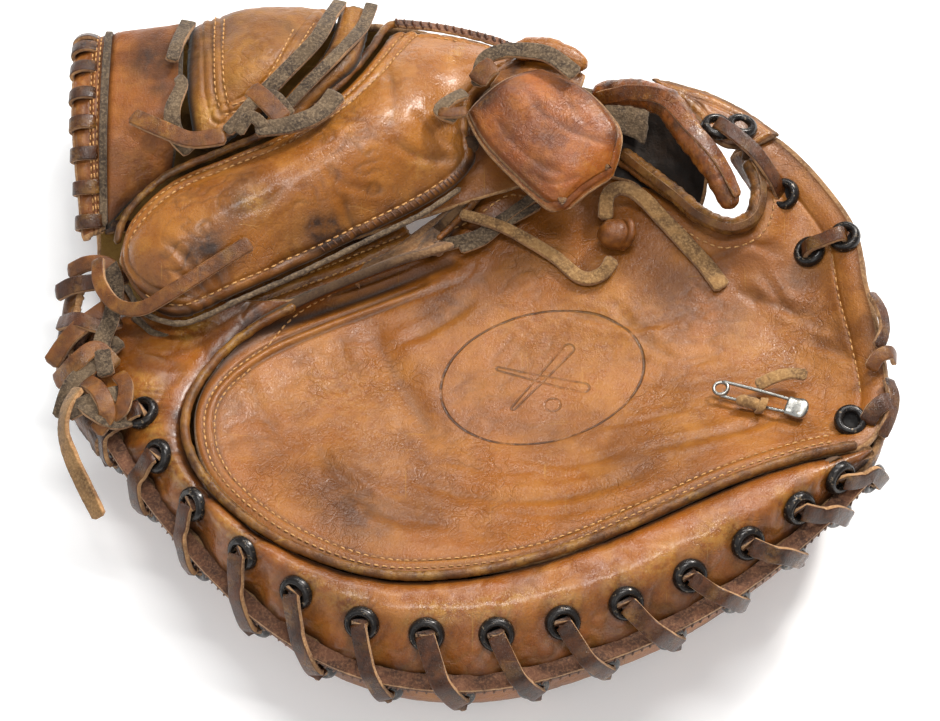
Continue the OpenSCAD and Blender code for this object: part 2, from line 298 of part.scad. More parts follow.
// ---- web ----
module web_panel() color("#7a3c1a") put() sheet(grid([[[2, 81, 74.5], [8.5, 69.5, 74], [15.6, 61, 73], [28.6, 49, 70], [35, 47.5, 68]], [[15, 91, 78], [24, 80, 79], [31, 71, 78], [40, 60, 75], [43, 54, 71]],
  [[28, 99, 74], [42, 89.5, 76], [50, 80.5, 76], [54, 72, 75], [52, 60, 70.5]]], 10, 8), 3);
module web_back_panel() color("#8a7a5a") put() sheet(grid([[[30, 84, 60], [42, 77, 60], [54, 83, 57], [64, 79, 56]], [[32, 95, 61], [44, 97, 60], [55, 95, 58], [65, 90, 57]]], 7, 3), 2.2);
module web_bow_lace() color("#a08a58") put() {
  lace(path([[6, 91, 73], [8, 100, 75], [15, 103, 76.5], [25.5, 101, 80], [32, 98, 81.5], [40, 91, 81.5]], 12), [-0.1, 0, 1], 5);
  lace(path([[2, 88, 73.8], [-3, 84, 76.3], [-7, 79, 77.3], [-1, 76, 77.2]], 8), [-0.1, 0, 1], 4);
}
palm_panel();
rim_cover();
palm_piping();
thumb_crotch_band();
palm_pad();
rim_pad();
palm_lining();
finger_back();
index_gusset();
finger_dividers();
edge_welt();
palm_side_eyelets();
back_side_eyelets();
rim_lace();
heel_binding();
heel_lace();
heel_lace_tails();
tip_lace();
web_anchor_lace();
web_edge_strap();
web_roll();
web_cord();
palm_tie_lace();
palm_tie_knot();
crotch_lace();
pin_thong();
pin_wire();
pin_cap();
pin_knot();
strap_base();
wrist_strap();
strap_keeper();
strap_rivets();
buckle_frame();
buckle_prong();
thumb_panel();
thumb_piping();
thumb_pad();
thumb_edge_strip();
thumb_gusset();
wrist_cuff();
cuff_facing();
cuff_welt();
cuff_whip_lace();
thumb_back();
thumb_lining();
thumb_lace();
thumb_lace_knot();
strap_anchor();
heel_tie_tail();
thumb_web_tab();
web_panel();
web_back_panel();
web_bow_lace();
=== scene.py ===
import bpy, math, json
import numpy as np
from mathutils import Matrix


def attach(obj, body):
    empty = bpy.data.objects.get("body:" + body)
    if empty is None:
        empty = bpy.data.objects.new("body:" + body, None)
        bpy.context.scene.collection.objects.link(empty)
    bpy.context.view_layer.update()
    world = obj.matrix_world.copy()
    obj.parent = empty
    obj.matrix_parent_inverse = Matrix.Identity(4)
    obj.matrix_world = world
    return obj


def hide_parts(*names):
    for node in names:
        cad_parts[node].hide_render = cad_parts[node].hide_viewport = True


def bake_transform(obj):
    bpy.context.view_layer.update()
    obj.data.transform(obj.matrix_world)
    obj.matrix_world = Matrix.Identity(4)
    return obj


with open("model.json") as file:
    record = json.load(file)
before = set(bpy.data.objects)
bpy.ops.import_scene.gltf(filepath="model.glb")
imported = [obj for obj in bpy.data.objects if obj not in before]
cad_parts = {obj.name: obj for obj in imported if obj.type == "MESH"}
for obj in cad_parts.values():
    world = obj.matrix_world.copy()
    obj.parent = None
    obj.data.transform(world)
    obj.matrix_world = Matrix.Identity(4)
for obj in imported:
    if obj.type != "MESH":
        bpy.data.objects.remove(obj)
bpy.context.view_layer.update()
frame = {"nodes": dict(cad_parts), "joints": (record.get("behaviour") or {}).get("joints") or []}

# ------------------------------------------------------------------ frame
# working frame: millimetres, origin shifted from the CAD's by this much
OFF = np.array([-4.15, -1.95, 1.0])
def W(p): return (np.asarray(p, float) + OFF) / 1000.0

def body_joint(name): return next(j for j in frame["joints"] if j["name"] == name) if isinstance(frame["joints"], list) else frame["joints"][name]

# ------------------------------------------------------------------ rails (mm)
def A(*p): return np.array(p, float)
Q = A([-51,20,49],[-68,11,48],[-82,-2,49],[-91,-19,52],[-92,-36,56],[-84,-54,60],[-67,-72,64],[-47,-84,67],
      [-24,-91,68],[0,-91,69],[24,-86,70],[48,-78,71],[71,-67,71],[95,-56,71],[118,-48,70],[136,-43,67])
E = A([-112,20,45],[-127,14,42],[-131,2,41],[-126,-13,42],[-116,-31,44],[-104,-50,46],[-87,-73,49],[-66,-96,52],
      [-41,-114,55],[-17,-122,57],[10,-123,58],[37,-117,59],[65,-106,60],[92,-90,61],[117,-69,62],[138,-47,62])
RISE = np.array([3,3,3,4,5,6,8,9,9,9,9,9,9,9,8,4], float)
PL = A([-3,39,50],[-24,30,50],[-50,18,50],[-72,4,51],[-87,-14,54],[-90,-33,58],[-83,-54,62],[-61,-76,67],
      [-31,-90,69],[0,-91,70],[31,-85,71],[61,-72,72],[92,-57,72],[118,-48,71],[136,-42,68],[143,-24,65],
      [141,0,63],[137,20,64],[134,39,65],[124,56,66],[111,71,67],[98,81,67])
PU = A([-10,42,48],[0,54,46],[10,66,46],[20,68,46],[31,65,46],[43,70,47],[54,75,48],[64,66,51],
      [74,56,54],[82,47.5,56.5],[92,41.5,59.5],[100,43,62.5],[103,50,64.5],[102,60,65.5],[97,76,67])
FE = np.vstack([E[3:], A([145,-26,62],[144,-2,60],[140,20,60],[137,40,61],[127,58,62],[113,73,62],[100,83,62])])
VL = A([-119,-4,10],[-108,2,9],[-96,8,8],[-82,15,6],[-66,24,4],[-50,32,3],[-33,40,4],[-16,48,7],[0,56,12],[16,61,18],
      [33,63,22],[48,64,25],[60,62,28],[70,56,31],[80,49,34],[90,44,38],[99,45,43],[103,52,48],[102,62,52],[97,74,55])
DL = A([-115,25,55],[-108,13,58],[-94,8,60],[-75,17,60],[-54,28,59],[-34,39,59],[-14,50,59],[0,60,60],
      [6,70,61],[4,80,62],[7,92,63],[22,104,64])
DU = A([-117,37,56],[-113,48,60],[-100,60,64],[-82,68,66],[-63,76,68],[-47,87,69],[-36,100,67],[-29,113,62],
      [-23,125,55],[-7,124,53],[10,119,54],[23,111,58])
TRISE = 14 * np.array([0.25,0.55,0.85,1,1,1,1,0.9,0.75,0.6,0.5,0.2])
A0 = A([-130,45,50],[-122,49,51],[-112,59,53],[-100,67,54]); A1 = A([-134,82,62],[-122,83,64],[-111,86,66],[-98,90,67])
A2 = A([-135,117,54],[-122,120,56],[-111,121,58],[-98,122,60]); A3 = A([-134,124,40],[-122,127,40],[-111,128,41],[-98,129,42])
B0 = A([-91,73,65],[-81,73,68],[-68,83,70]); B1 = A([-94,93,70],[-74,98,75],[-54,105,74])
B2 = A([-94,122,60],[-70,127,62],[-45,129,62]); B3 = A([-94,130,44],[-70,133,45],[-46,134,46])
C0 = A([-72,76,67],[-60,90,71],[-47,108,69],[-42,130,60]); C1 = A([-57,77,69],[-45,91,71],[-35,104,69],[-31,129,58])
TE = A([-134,125,39],[-111,129,40],[-94,131,42],[-70,134,43],[-46,134,44],[-27,131,49],[-7,127,49],[10,122,50],[22,113,54],[26,106,58])
TV = A([-124,22,10],[-100,33,9],[-78,42,6],[-55,53,5],[-33,65,6],[-15,76,12],[-2,86,24],[8,92,36],[16,97,46],[23,101,54])
EYE_T = np.array([3.4,4.4,5.4,6.35,7.2,8.1,9.0,9.9,10.75,11.55,12.35,13.1,13.8,14.45])
EYE_S = np.array([0.56,0.6,0.62,0.64,0.66,0.67,0.68,0.7,0.72,0.74,0.75,0.75,0.74,0.72])

# ------------------------------------------------------------------ curves and noise
def cr(P, t):
    """Catmull-Rom through P (n+1, ..., 3) at parameters t in 0..n"""
    P = np.asarray(P, float); n = len(P) - 1
    t = np.clip(np.asarray(t, float), 0, n)
    i = np.minimum(np.floor(t).astype(int), n - 1); f = t - i
    ext = np.concatenate([[2 * P[0] - P[1]], P, [2 * P[n] - P[n - 1]]])
    f = f.reshape(f.shape + (1,) * (P.ndim - 1))
    a, b, c, d = ext[i], ext[i + 1], ext[i + 2], ext[i + 3]
    return 0.5 * (2 * b + (c - a) * f + (2 * a - 5 * b + 4 * c - d) * f ** 2 + (3 * b - a - 3 * c + d) * f ** 3)
def along(P, f): return cr(P, np.asarray(f, float) * (len(P) - 1))
def arc(P):
    d = np.linalg.norm(np.diff(P, axis=0), axis=1); return np.concatenate([[0], np.cumsum(d)])
def even(P, step=None, n=None, k=24):
    """smooth curve through P, resampled evenly"""
    c = cr(P, np.linspace(0, len(P) - 1, (len(P) - 1) * k + 1)); s = arc(c)
    if n is None: n = max(2, int(round(s[-1] / step)) + 1)
    q = np.linspace(0, s[-1], n)
    return np.stack([np.interp(q, s, c[:, i]) for i in range(c.shape[1])], 1)
def unit(v):
    v = np.asarray(v, float); return v / np.maximum(np.linalg.norm(v, axis=-1, keepdims=True), 1e-12)
def tangents(P): return unit(np.gradient(P, axis=0))
def smooth(a, b, x):
    t = np.clip((x - a) / (b - a), 0, 1); return t * t * (3 - 2 * t)
def gauss(d, w): return np.exp(-(d / w) ** 2)

_perm = np.random.RandomState(7).permutation(256); _perm = np.concatenate([_perm, _perm, _perm])
_grad = unit(np.random.RandomState(3).normal(size=(256, 3)))
def noise(P, scale=1.0, seed=0):
    """Perlin noise, P in mm, scale in mm per cell"""
    p = np.asarray(P, float) / scale + np.array([13.7, 5.1, 9.3]) * (seed + 1)
    i = np.floor(p).astype(int); f = p - i; u = f * f * f * (f * (f * 6 - 15) + 10)
    out = 0
    for dx in (0, 1):
        for dy in (0, 1):
            for dz in (0, 1):
                h = _perm[(_perm[(_perm[(i[..., 0] + dx) & 255] + i[..., 1] + dy) & 255] + i[..., 2] + dz) & 255]
                g = _grad[h]
                w = (u[..., 0] if dx else 1 - u[..., 0]) * (u[..., 1] if dy else 1 - u[..., 1]) * (u[..., 2] if dz else 1 - u[..., 2])
                out = out + w * (g[..., 0] * (f[..., 0] - dx) + g[..., 1] * (f[..., 1] - dy) + g[..., 2] * (f[..., 2] - dz))
    return out * 1.6
def fbm(P, scale, octaves=3, seed=0, gain=0.5):
    o, a = 0, 1.0
    for k in range(octaves):
        o = o + a * noise(P, scale / 2 ** k, seed + 11 * k); a *= gain
    return o
def ridged(P, scale, seed=0, warp=0.0):
    P = np.asarray(P, float)
    if warp: P = P + warp * np.stack([noise(P, scale * 1.7, seed + 31), noise(P, scale * 1.7, seed + 32), 0 * P[..., 0]], -1)
    return 1 - np.abs(noise(P, scale, seed)) * 2.2
def polydist(P, L, dims=2):
    """distance from points P to the polyline L (in the first dims axes), and the share along it"""
    P = np.asarray(P, float)[..., :dims]; L = np.asarray(L, float)[:, :dims]
    best = np.full(P.shape[:-1], 1e9); bt = np.zeros(P.shape[:-1])
    n = len(L) - 1
    for k in range(n):
        a, b = L[k], L[k + 1]; ab = b - a; l2 = max(float(ab @ ab), 1e-9)
        t = np.clip(((P - a) @ ab) / l2, 0, 1)
        d = np.linalg.norm(P - a - t[..., None] * ab, axis=-1)
        m = d < best; best = np.where(m, d, best); bt = np.where(m, (k + t) / n, bt)
    return best, bt

# ------------------------------------------------------------------ patches
def loft(rails, n, m, t0=0, t1=1, s0=0, s1=1):
    T = np.linspace(t0, t1, n); S = np.linspace(s0, s1, m)
    R = np.stack([along(r, T) for r in rails], 0)           # k, n, 3
    return np.swapaxes(cr(R, S * (len(rails) - 1)), 0, 1)     # n, m, 3
def normals(G, up=(0, 0, 1)):
    du = np.gradient(G, axis=0); dv = np.gradient(G, axis=1)
    N = unit(np.cross(du, dv)); c = N[N.shape[0] // 2, N.shape[1] // 2]
    return N if c @ np.asarray(up, float) > 0 else -N
class Surf:
    """a grid surface that can be asked for a point and normal at (f, g), each 0..1"""
    def __init__(s, G, up=(0, 0, 1)): s.G = G; s.up = up; s.N = normals(G, up)
    def push(s, h): s.G = s.G + s.N * h[..., None]; s.N = normals(s.G, s.up)
    def at(s, f, g):
        n, m = s.G.shape[:2]; x = np.clip(np.asarray(f, float), 0, 1) * (n - 1); y = np.clip(np.asarray(g, float), 0, 1) * (m - 1)
        i = np.minimum(x.astype(int), n - 2); j = np.minimum(y.astype(int), m - 2); a = (x - i)[..., None]; b = (y - j)[..., None]
        def mix(K): return (K[i, j] * (1 - a) * (1 - b) + K[i + 1, j] * a * (1 - b) + K[i, j + 1] * (1 - a) * b + K[i + 1, j + 1] * a * b)
        return mix(s.G), unit(mix(s.N))
    def near(s, P):
        """drop points straight down the z axis onto the surface (nearest in x, y)"""
        P = np.atleast_2d(np.asarray(P, float)); F = s.G.reshape(-1, 3); NN = s.N.reshape(-1, 3)
        out, nn = [], []
        for p in P:
            d = np.sum((F[:, :2] - p[:2]) ** 2, axis=1); k = np.argpartition(d, 4)[:4]; w = 1 / (d[k] + 0.05); w /= w.sum()
            out.append([p[0], p[1], float(w @ F[k, 2])]); nn.append(w @ NN[k])
        return np.array(out), unit(np.array(nn))

# ------------------------------------------------------------------ meshes
def make(name, V, F, mats, body, mask=None, fmat=None, shade=True, replaces=(), slot=None, extra=None):
    V = W(V); me = bpy.data.meshes.new(name)
    F = np.asarray(F) if not isinstance(F, list) else F
    if isinstance(F, np.ndarray):
        k = F.shape[1]; nf = len(F)
        me.vertices.add(len(V)); me.vertices.foreach_set("co", V.astype(np.float32).ravel())
        me.loops.add(nf * k); me.loops.foreach_set("vertex_index", F.astype(np.int32).ravel())
        me.polygons.add(nf); me.polygons.foreach_set("loop_start", np.arange(0, nf * k, k, dtype=np.int32))
        try: me.polygons.foreach_set("loop_total", np.full(nf, k, dtype=np.int32))
        except Exception: pass
        me.update(calc_edges=True)
    else:
        me.from_pydata([tuple(v) for v in V], [], [tuple(map(int, f)) for f in F])
    me.validate(clean_customdata=False)
    if fmat is not None and len(me.polygons) == len(fmat): me.polygons.foreach_set("material_index", np.asarray(fmat, dtype=np.int32))
    if shade: me.polygons.foreach_set("use_smooth", np.ones(len(me.polygons), dtype=bool))
    if mask is not None:
        at = me.attributes.new("mask", "FLOAT_COLOR", "POINT"); M = np.ones((len(V), 4), np.float32); M[:, :mask.shape[1]] = mask
        at.data.foreach_set("color", M.ravel())
    for k_, v_ in (extra or {}).items():
        at = me.attributes.new(k_, "FLOAT", "POINT"); at.data.foreach_set("value", np.asarray(v_, np.float32).ravel())
    for m_ in (mats if isinstance(mats, (list, tuple)) else [mats]): me.materials.append(m_)
    ob = bpy.data.objects.new(name, me); bpy.context.scene.collection.objects.link(ob)
    if body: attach(ob, body)
    if replaces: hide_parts(*replaces)
    return ob
def grid_faces(n, m, o=0, flip=False, wrap_u=False, wrap_v=False):
    i = np.arange(n if wrap_u else n - 1); j = np.arange(m if wrap_v else m - 1); I, J = np.meshgrid(i, j, indexing="ij")
    I2 = (I + 1) % n; J2 = (J + 1) % m
    F = np.stack([I * m + J, I2 * m + J, I2 * m + J2, I * m + J2], -1).reshape(-1, 4) + o
    return F[:, ::-1] if flip else F
def shell(name, S, th, mats, body, mask=None, edge_mat=None, roll=0.5, back_mat=None, **kw):
    """closed leather sheet: outer face S.G, thickness th, rounded raw edge"""
    G, N = S.G, S.N; n, m = G.shape[:2]
    thv = th if np.ndim(th) else np.full((n, m), float(th))
    B = G - N * thv[..., None]
    per = [(i, 0) for i in range(n)] + [(n - 1, j) for j in range(1, m)] + [(i, m - 1) for i in range(n - 2, -1, -1)] + [(0, j) for j in range(m - 2, 0, -1)]
    pi = np.array(per); C = G.reshape(-1, 3).mean(0)
    # outward direction along the border
    out = np.zeros((len(per), 3))
    du = np.gradient(G, axis=0); dv = np.gradient(G, axis=1)
    for k, (i, j) in enumerate(per):
        o = np.zeros(3)
        if i == 0: o -= unit(du[i, j])
        if i == n - 1: o += unit(du[i, j])
        if j == 0: o -= unit(dv[i, j])
        if j == m - 1: o += unit(dv[i, j])
        out[k] = unit(o)
    g = G[pi[:, 0], pi[:, 1]]; nn = N[pi[:, 0], pi[:, 1]]; t_ = thv[pi[:, 0], pi[:, 1]][:, None]
    rings = [g + out * roll * t_ * math.sin(a) - nn * t_ * (1 - math.cos(a)) / 2 for a in (math.radians(50), math.radians(90), math.radians(130))]
    V = np.vstack([G.reshape(-1, 3), B.reshape(-1, 3)] + rings)
    flip = float(np.cross(du, dv)[n // 2, m // 2] @ N[n // 2, m // 2]) < 0
    top = grid_faces(n, m, 0, flip); bot = grid_faces(n, m, n * m, not flip)
    gi = pi[:, 0] * m + pi[:, 1]; L = len(per); base = 2 * n * m
    loops = [gi, base + np.arange(L), base + L + np.arange(L), base + 2 * L + np.arange(L), n * m + gi]
    F = [top, bot]; fm = [np.zeros(len(top), int), np.full(len(bot), 1 if back_mat else 0)]
    for a, b in zip(loops[:-1], loops[1:]):
        q = np.stack([a, b, np.roll(b, -1), np.roll(a, -1)], -1)
        F.append(q if not flip else q[:, ::-1]); fm.append(np.full(L, (2 if back_mat else 1) if edge_mat else 0))
    F = np.vstack(F); fm = np.concatenate(fm)
    M = None
    if mask is not None:
        mk = mask.reshape(-1, mask.shape[-1]); M = np.vstack([mk, mk] + [mk[gi]] * 3)
    ml = [mats] + ([back_mat] if back_mat else []) + ([edge_mat] if edge_mat else [])
    return make(name, V, F, ml, body, mask=M, fmat=fm, **kw)
def frames(P, ref):
    """tangent, side, up for a path; ref is one vector or one per point"""
    T = tangents(P); R = np.asarray(ref, float)
    if R.ndim == 1: R = np.repeat(R[None], len(P), 0)
    elif len(R) != len(P): R = even_vec(R, len(P))
    U = unit(np.cross(R, T)); Vv = np.cross(T, U); return T, U, Vv
def even_vec(R, n):
    f = np.linspace(0, len(R) - 1, n); i = np.minimum(f.astype(int), len(R) - 2); a = (f - i)[:, None]
    return unit(R[i] * (1 - a) + R[i + 1] * a)
def sweep_mesh(P, U, Vv, sec, closed_ends=True):
    """sec: (k,2) or (n,k,2); returns V, F"""
    n = len(P); sec = np.asarray(sec, float)
    if sec.ndim == 2: sec = np.repeat(sec[None], n, 0)
    k = sec.shape[1]
    V = P[:, None] + sec[..., :1] * U[:, None] + sec[..., 1:] * Vv[:, None]
    F = grid_faces(n, k, 0, False, False, True)
    V = V.reshape(-1, 3); F = [F]
    if closed_ends:
        c0, c1 = len(V), len(V) + 1
        V = np.vstack([V, P[0], P[-1]]); j = np.arange(k)
        F.append(np.stack([np.full(k, c0), j, (j + 1) % k, (j + 1) % k], -1)); e = (n - 1) * k
        F.append(np.stack([np.full(k, c1), e + (j + 1) % k, e + j, e + j], -1))
    return V, F
def rrect(w, t, r=0.35, seg=3):
    """rounded rectangle section, width w along U, thickness t along V"""
    r = min(r, t / 2 - 1e-3, w / 2 - 1e-3); pts = []
    for cx, cy, a0 in ((w / 2 - r, t / 2 - r, 0), (-w / 2 + r, t / 2 - r, 90), (-w / 2 + r, -t / 2 + r, 180), (w / 2 - r, -t / 2 + r, 270)):
        for q in range(seg + 1):
            a = math.radians(a0 + 90 * q / seg); pts.append([cx + r * math.cos(a), cy + r * math.sin(a)])
    return np.array(pts)
class Mesh:
    """collects several closed shapes in one object"""
    def __init__(s): s.V = []; s.T = []; s.Q = []; s.fq = []; s.ft = []; s.n = 0; s.M = []
    def add(s, V, F, mat=0, mask=None):
        V = np.asarray(V, float)
        for f in (F if isinstance(F, list) else [F]):
            f = np.asarray(f)
            if f.shape[1] == 4 and np.all(f[:, 2] == f[:, 3]): f = f[:, :3]
            mm = mat if np.ndim(mat) else np.full(len(f), mat)
            (s.Q if f.shape[1] == 4 else s.T).append(f + s.n); (s.fq if f.shape[1] == 4 else s.ft).append(mm[:len(f)] if np.ndim(mat) else mm)
        s.V.append(V); s.n += len(V); s.M.append(np.zeros((len(V), 3)) if mask is None else mask)
    def build(s, name, mats, body, **kw):
        V = np.vstack(s.V); M = np.vstack(s.M)
        F = [tuple(f) for q in s.Q for f in q] + [tuple(f) for q in s.T for f in q]
        fm = np.concatenate([np.asarray(x) for x in s.fq + s.ft]) if (s.fq or s.ft) else None
        if s.Q and not s.T: F = np.vstack(s.Q)
        return make(name, V, F, mats, body, mask=M, fmat=fm, **kw)
def ribbon(acc, P, ref, w=5.6, t=1.7, step=1.2, seed=0, taper=(1.0, 1.0), rough=0.12, mats=(0, 1, 2), twist=None, r=0.45, dirt=0.0):
    """rawhide lace: smooth side out (mat 0), flesh side in (mat 1), pale cut edges (mat 2)"""
    C = even(np.asarray(P, float), step=step); n = len(C); T, U, Vv = frames(C, ref)
    if twist is not None:
        a = np.radians(np.interp(np.linspace(0, 1, n), np.linspace(0, 1, len(twist)), twist))[:, None]
        U, Vv = U * np.cos(a) + Vv * np.sin(a), Vv * np.cos(a) - U * np.sin(a)
    f = np.linspace(0, 1, n); ww = w * (taper[0] + (taper[1] - taper[0]) * f) * (1 + 0.05 * noise(C, 9, seed))
    tt = t * (1 + 0.10 * noise(C, 6, seed + 1))
    end = np.minimum(np.minimum(np.arange(n), np.arange(n)[::-1]) / 1.0 + 0.55, 1.0)
    sec0 = rrect(1.0, 1.0, 0.25, 3); k = len(sec0)
    base = rrect(w, t, r, 3)
    sec = base[None] * np.stack([ww / w, tt / t], -1)[:, None, :] * end[:, None, None]
    V, F = sweep_mesh(C, U, Vv, sec)
    V = V + rough * noise(V, 1.6, seed + 3)[:, None] * 0.9 * np.vstack([np.repeat(Vv[:, None], k, 1).reshape(-1, 3), Vv[:1], Vv[-1:]])
    ang = base[:, 1] / (t / 2); flat = np.abs(base[:, 0]) < w / 2 - r * 0.6
    j = np.arange(k); j2 = (j + 1) % k; mid = (base[j] + base[j2]) / 2
    side = np.where(mid[:, 1] > t * 0.32, mats[0], np.where(mid[:, 1] < -t * 0.32, mats[1], mats[2]))
    fm = np.tile(side, n - 1)
    mk = np.zeros((len(V), 3)); mk[:, 0] = dirt + 0.35 * np.clip(noise(V, 14, seed + 5) + 0.2, 0, 1); mk[:, 1] = np.clip(noise(V, 7, seed + 6), 0, 1)
    acc.add(V, [F[0]], fm, mk); o = acc.n - len(V)
    for q in F[1:]:
        acc.T.append(q[:, :3] + o); acc.ft.append(np.full(len(q), mats[2]))
    return C, U, Vv
def tube(acc, P, r, k=16, step=1.0, ref=(0, 0, 1), mat=0, seed=0, bumpy=0.0, squash=1.0, mask=None, wr=None):
    C = even(np.asarray(P, float), step=step); n = len(C); T, U, Vv = frames(C, ref)
    f = np.linspace(0, 1, n); rr = np.interp(f, np.linspace(0, 1, len(r)), r) if np.ndim(r) else np.full(n, float(r))
    a = np.linspace(0, 2 * math.pi, k, endpoint=False)
    cap = np.sqrt(np.clip(1 - (1 - np.minimum(np.minimum(f, 1 - f) * arc(C)[-1] / np.maximum(rr, 1e-6), 1)) ** 2, 0.04, 1))
    sec = np.stack([np.cos(a)[None] * rr[:, None] * cap[:, None], np.sin(a)[None] * rr[:, None] * cap[:, None] * squash], -1)
    V, F = sweep_mesh(C, U, Vv, sec)
    if bumpy or wr:
        D = unit(V - np.vstack([np.repeat(C[:, None], k, 1).reshape(-1, 3), C[:1] - T[:1], C[-1:] + T[-1:]]))
        h = bumpy * noise(V, 3.0, seed) if bumpy else 0
        if wr:
            s = np.concatenate([np.repeat(arc(C), k), [0, arc(C)[-1]]]); h = h + wr[0] * (ridged(np.stack([s, np.tile(0, len(s)), 4 + 0 * s], 1) + 0.6 * V, wr[1], seed) - 0.6)
        V = V + D * np.asarray(h)[:, None]
    mk = np.zeros((len(V), 3)) if mask is None else mask(V)
    acc.add(V, F, mat, mk); return C, U, Vv
def capsule(acc, a, b, r, up, mat=0, k=6, sag=0.0):
    """one stitch: a short thread lying from a to b"""
    a, b = np.asarray(a, float), np.asarray(b, float); d = b - a; L = np.linalg.norm(d)
    f = np.array([0, 0.12, 0.35, 0.65, 0.88, 1.0]); rr = r * np.array([0.25, 0.8, 1, 1, 0.8, 0.25])
    h = np.array([-0.9, -0.1, 0.18, 0.18, -0.1, -0.9]) * r * 1.3
    C = a + d * f[:, None] + np.asarray(up) * (h[:, None] + r * 0.25)
    T = unit(np.repeat(d[None], 6, 0)); U = unit(np.cross(up, T)); Vv = np.cross(T, U)
    an = np.linspace(0, 2 * math.pi, k, endpoint=False)
    sec = np.stack([np.cos(an)[None] * rr[:, None], np.sin(an)[None] * rr[:, None] * 0.85], -1)
    V, F = sweep_mesh(C, U, Vv, sec); acc.add(V, F, mat)

# ------------------------------------------------------------------ materials
def lin(r, g, b):
    return tuple(((c / 255) / 12.92 if c / 255 <= 0.04045 else ((c / 255 + 0.055) / 1.055) ** 2.4) for c in (r, g, b))
class Mat:
    def __init__(s, name):
        s.m = bpy.data.materials.new(name); s.m.use_nodes = True; s.t = s.m.node_tree; s.t.nodes.clear()
        s.out = s.t.nodes.new("ShaderNodeOutputMaterial"); s.b = s.t.nodes.new("ShaderNodeBsdfPrincipled")
        s.t.links.new(s.b.outputs[0], s.out.inputs[0])
        s.co = s.t.nodes.new("ShaderNodeTexCoord").outputs["Object"]; s.mk = None
    def link(s, sock, v):
        if isinstance(v, bpy.types.NodeSocket): s.t.links.new(v, sock)
        elif isinstance(v, (tuple, list)): sock.default_value = tuple(v) if len(sock.default_value) == len(v) else tuple(v) + (1,)
        else: sock.default_value = v
    def node(s, kind, out=0, props=None, **ins):
        n = s.t.nodes.new(kind)
        for k, v in (props or {}).items(): setattr(n, k, v)
        for k, v in ins.items(): s.link(n.inputs[int(k[1:])] if k[0] == "i" and k[1:].isdigit() else n.inputs[k], v)
        return n.outputs[out]
    def noise(s, mm, detail=3, rough=0.55, dist=0.0, co=None, out=0):
        return s.node("ShaderNodeTexNoise", out, Vector=co or s.co, Scale=1000.0 / mm, Detail=detail, Roughness=rough, Distortion=dist)
    def voro(s, mm, feature="F1", co=None, rand=1.0, out=0):
        n = s.t.nodes.new("ShaderNodeTexVoronoi"); n.feature = feature; s.link(n.inputs["Vector"], co or s.co)
        n.inputs["Scale"].default_value = 1000.0 / mm; n.inputs["Randomness"].default_value = rand; return n.outputs[out]
    def math(s, op, a, b=0.0, c=None, clamp=False):
        n = s.t.nodes.new("ShaderNodeMath"); n.operation = op; n.use_clamp = clamp; s.link(n.inputs[0], a); s.link(n.inputs[1], b)
        if c is not None: s.link(n.inputs[2], c)
        return n.outputs[0]
    def rng(s, v, a, b, c=0.0, d=1.0, kind="SMOOTHSTEP"):
        n = s.t.nodes.new("ShaderNodeMapRange"); n.interpolation_type = kind; s.link(n.inputs[0], v)
        for i, x in zip((1, 2, 3, 4), (a, b, c, d)): n.inputs[i].default_value = x
        return n.outputs[0]
    def mix(s, f, a, b, mode="MIX"):
        n = s.t.nodes.new("ShaderNodeMix"); n.data_type = "RGBA"; n.blend_type = mode; n.clamp_factor = True
        s.link(n.inputs[0], f); s.link(n.inputs[6], a); s.link(n.inputs[7], b); return n.outputs[2]
    def mapping(s, rot=(0, 0, 0), scale=(1, 1, 1)):
        n = s.t.nodes.new("ShaderNodeMapping"); s.link(n.inputs[0], s.co); n.inputs[2].default_value = rot; n.inputs[3].default_value = scale; return n.outputs[0]
    def mask(s):
        if s.mk is None:
            a = s.t.nodes.new("ShaderNodeAttribute"); a.attribute_name = "mask"; x = s.t.nodes.new("ShaderNodeSeparateColor"); s.t.links.new(a.outputs["Color"], x.inputs[0]); s.mk = x.outputs
        return s.mk
    def bump(s, h, dist, strength=1.0, normal=None):
        n = s.t.nodes.new("ShaderNodeBump"); n.inputs["Strength"].default_value = strength; n.inputs["Distance"].default_value = dist; s.link(n.inputs["Height"], h)
        if normal is not None: s.t.links.new(normal, n.inputs["Normal"])
        return n.outputs[0]
    def done(s, color, rough, normal=None, metal=0.0, spec=0.5, coat=0.0, coat_r=0.3, sheen=0.0):
        b = s.b; s.link(b.inputs["Base Color"], color); s.link(b.inputs["Roughness"], rough)
        if normal is not None: s.t.links.new(normal, b.inputs["Normal"])
        b.inputs["Metallic"].default_value = metal; b.inputs["Specular IOR Level"].default_value = spec
        if coat: b.inputs["Coat Weight"].default_value = coat; b.inputs["Coat Roughness"].default_value = coat_r
        if sheen: b.inputs["Sheen Weight"].default_value = sheen; b.inputs["Sheen Roughness"].default_value = 0.5
        return s.m

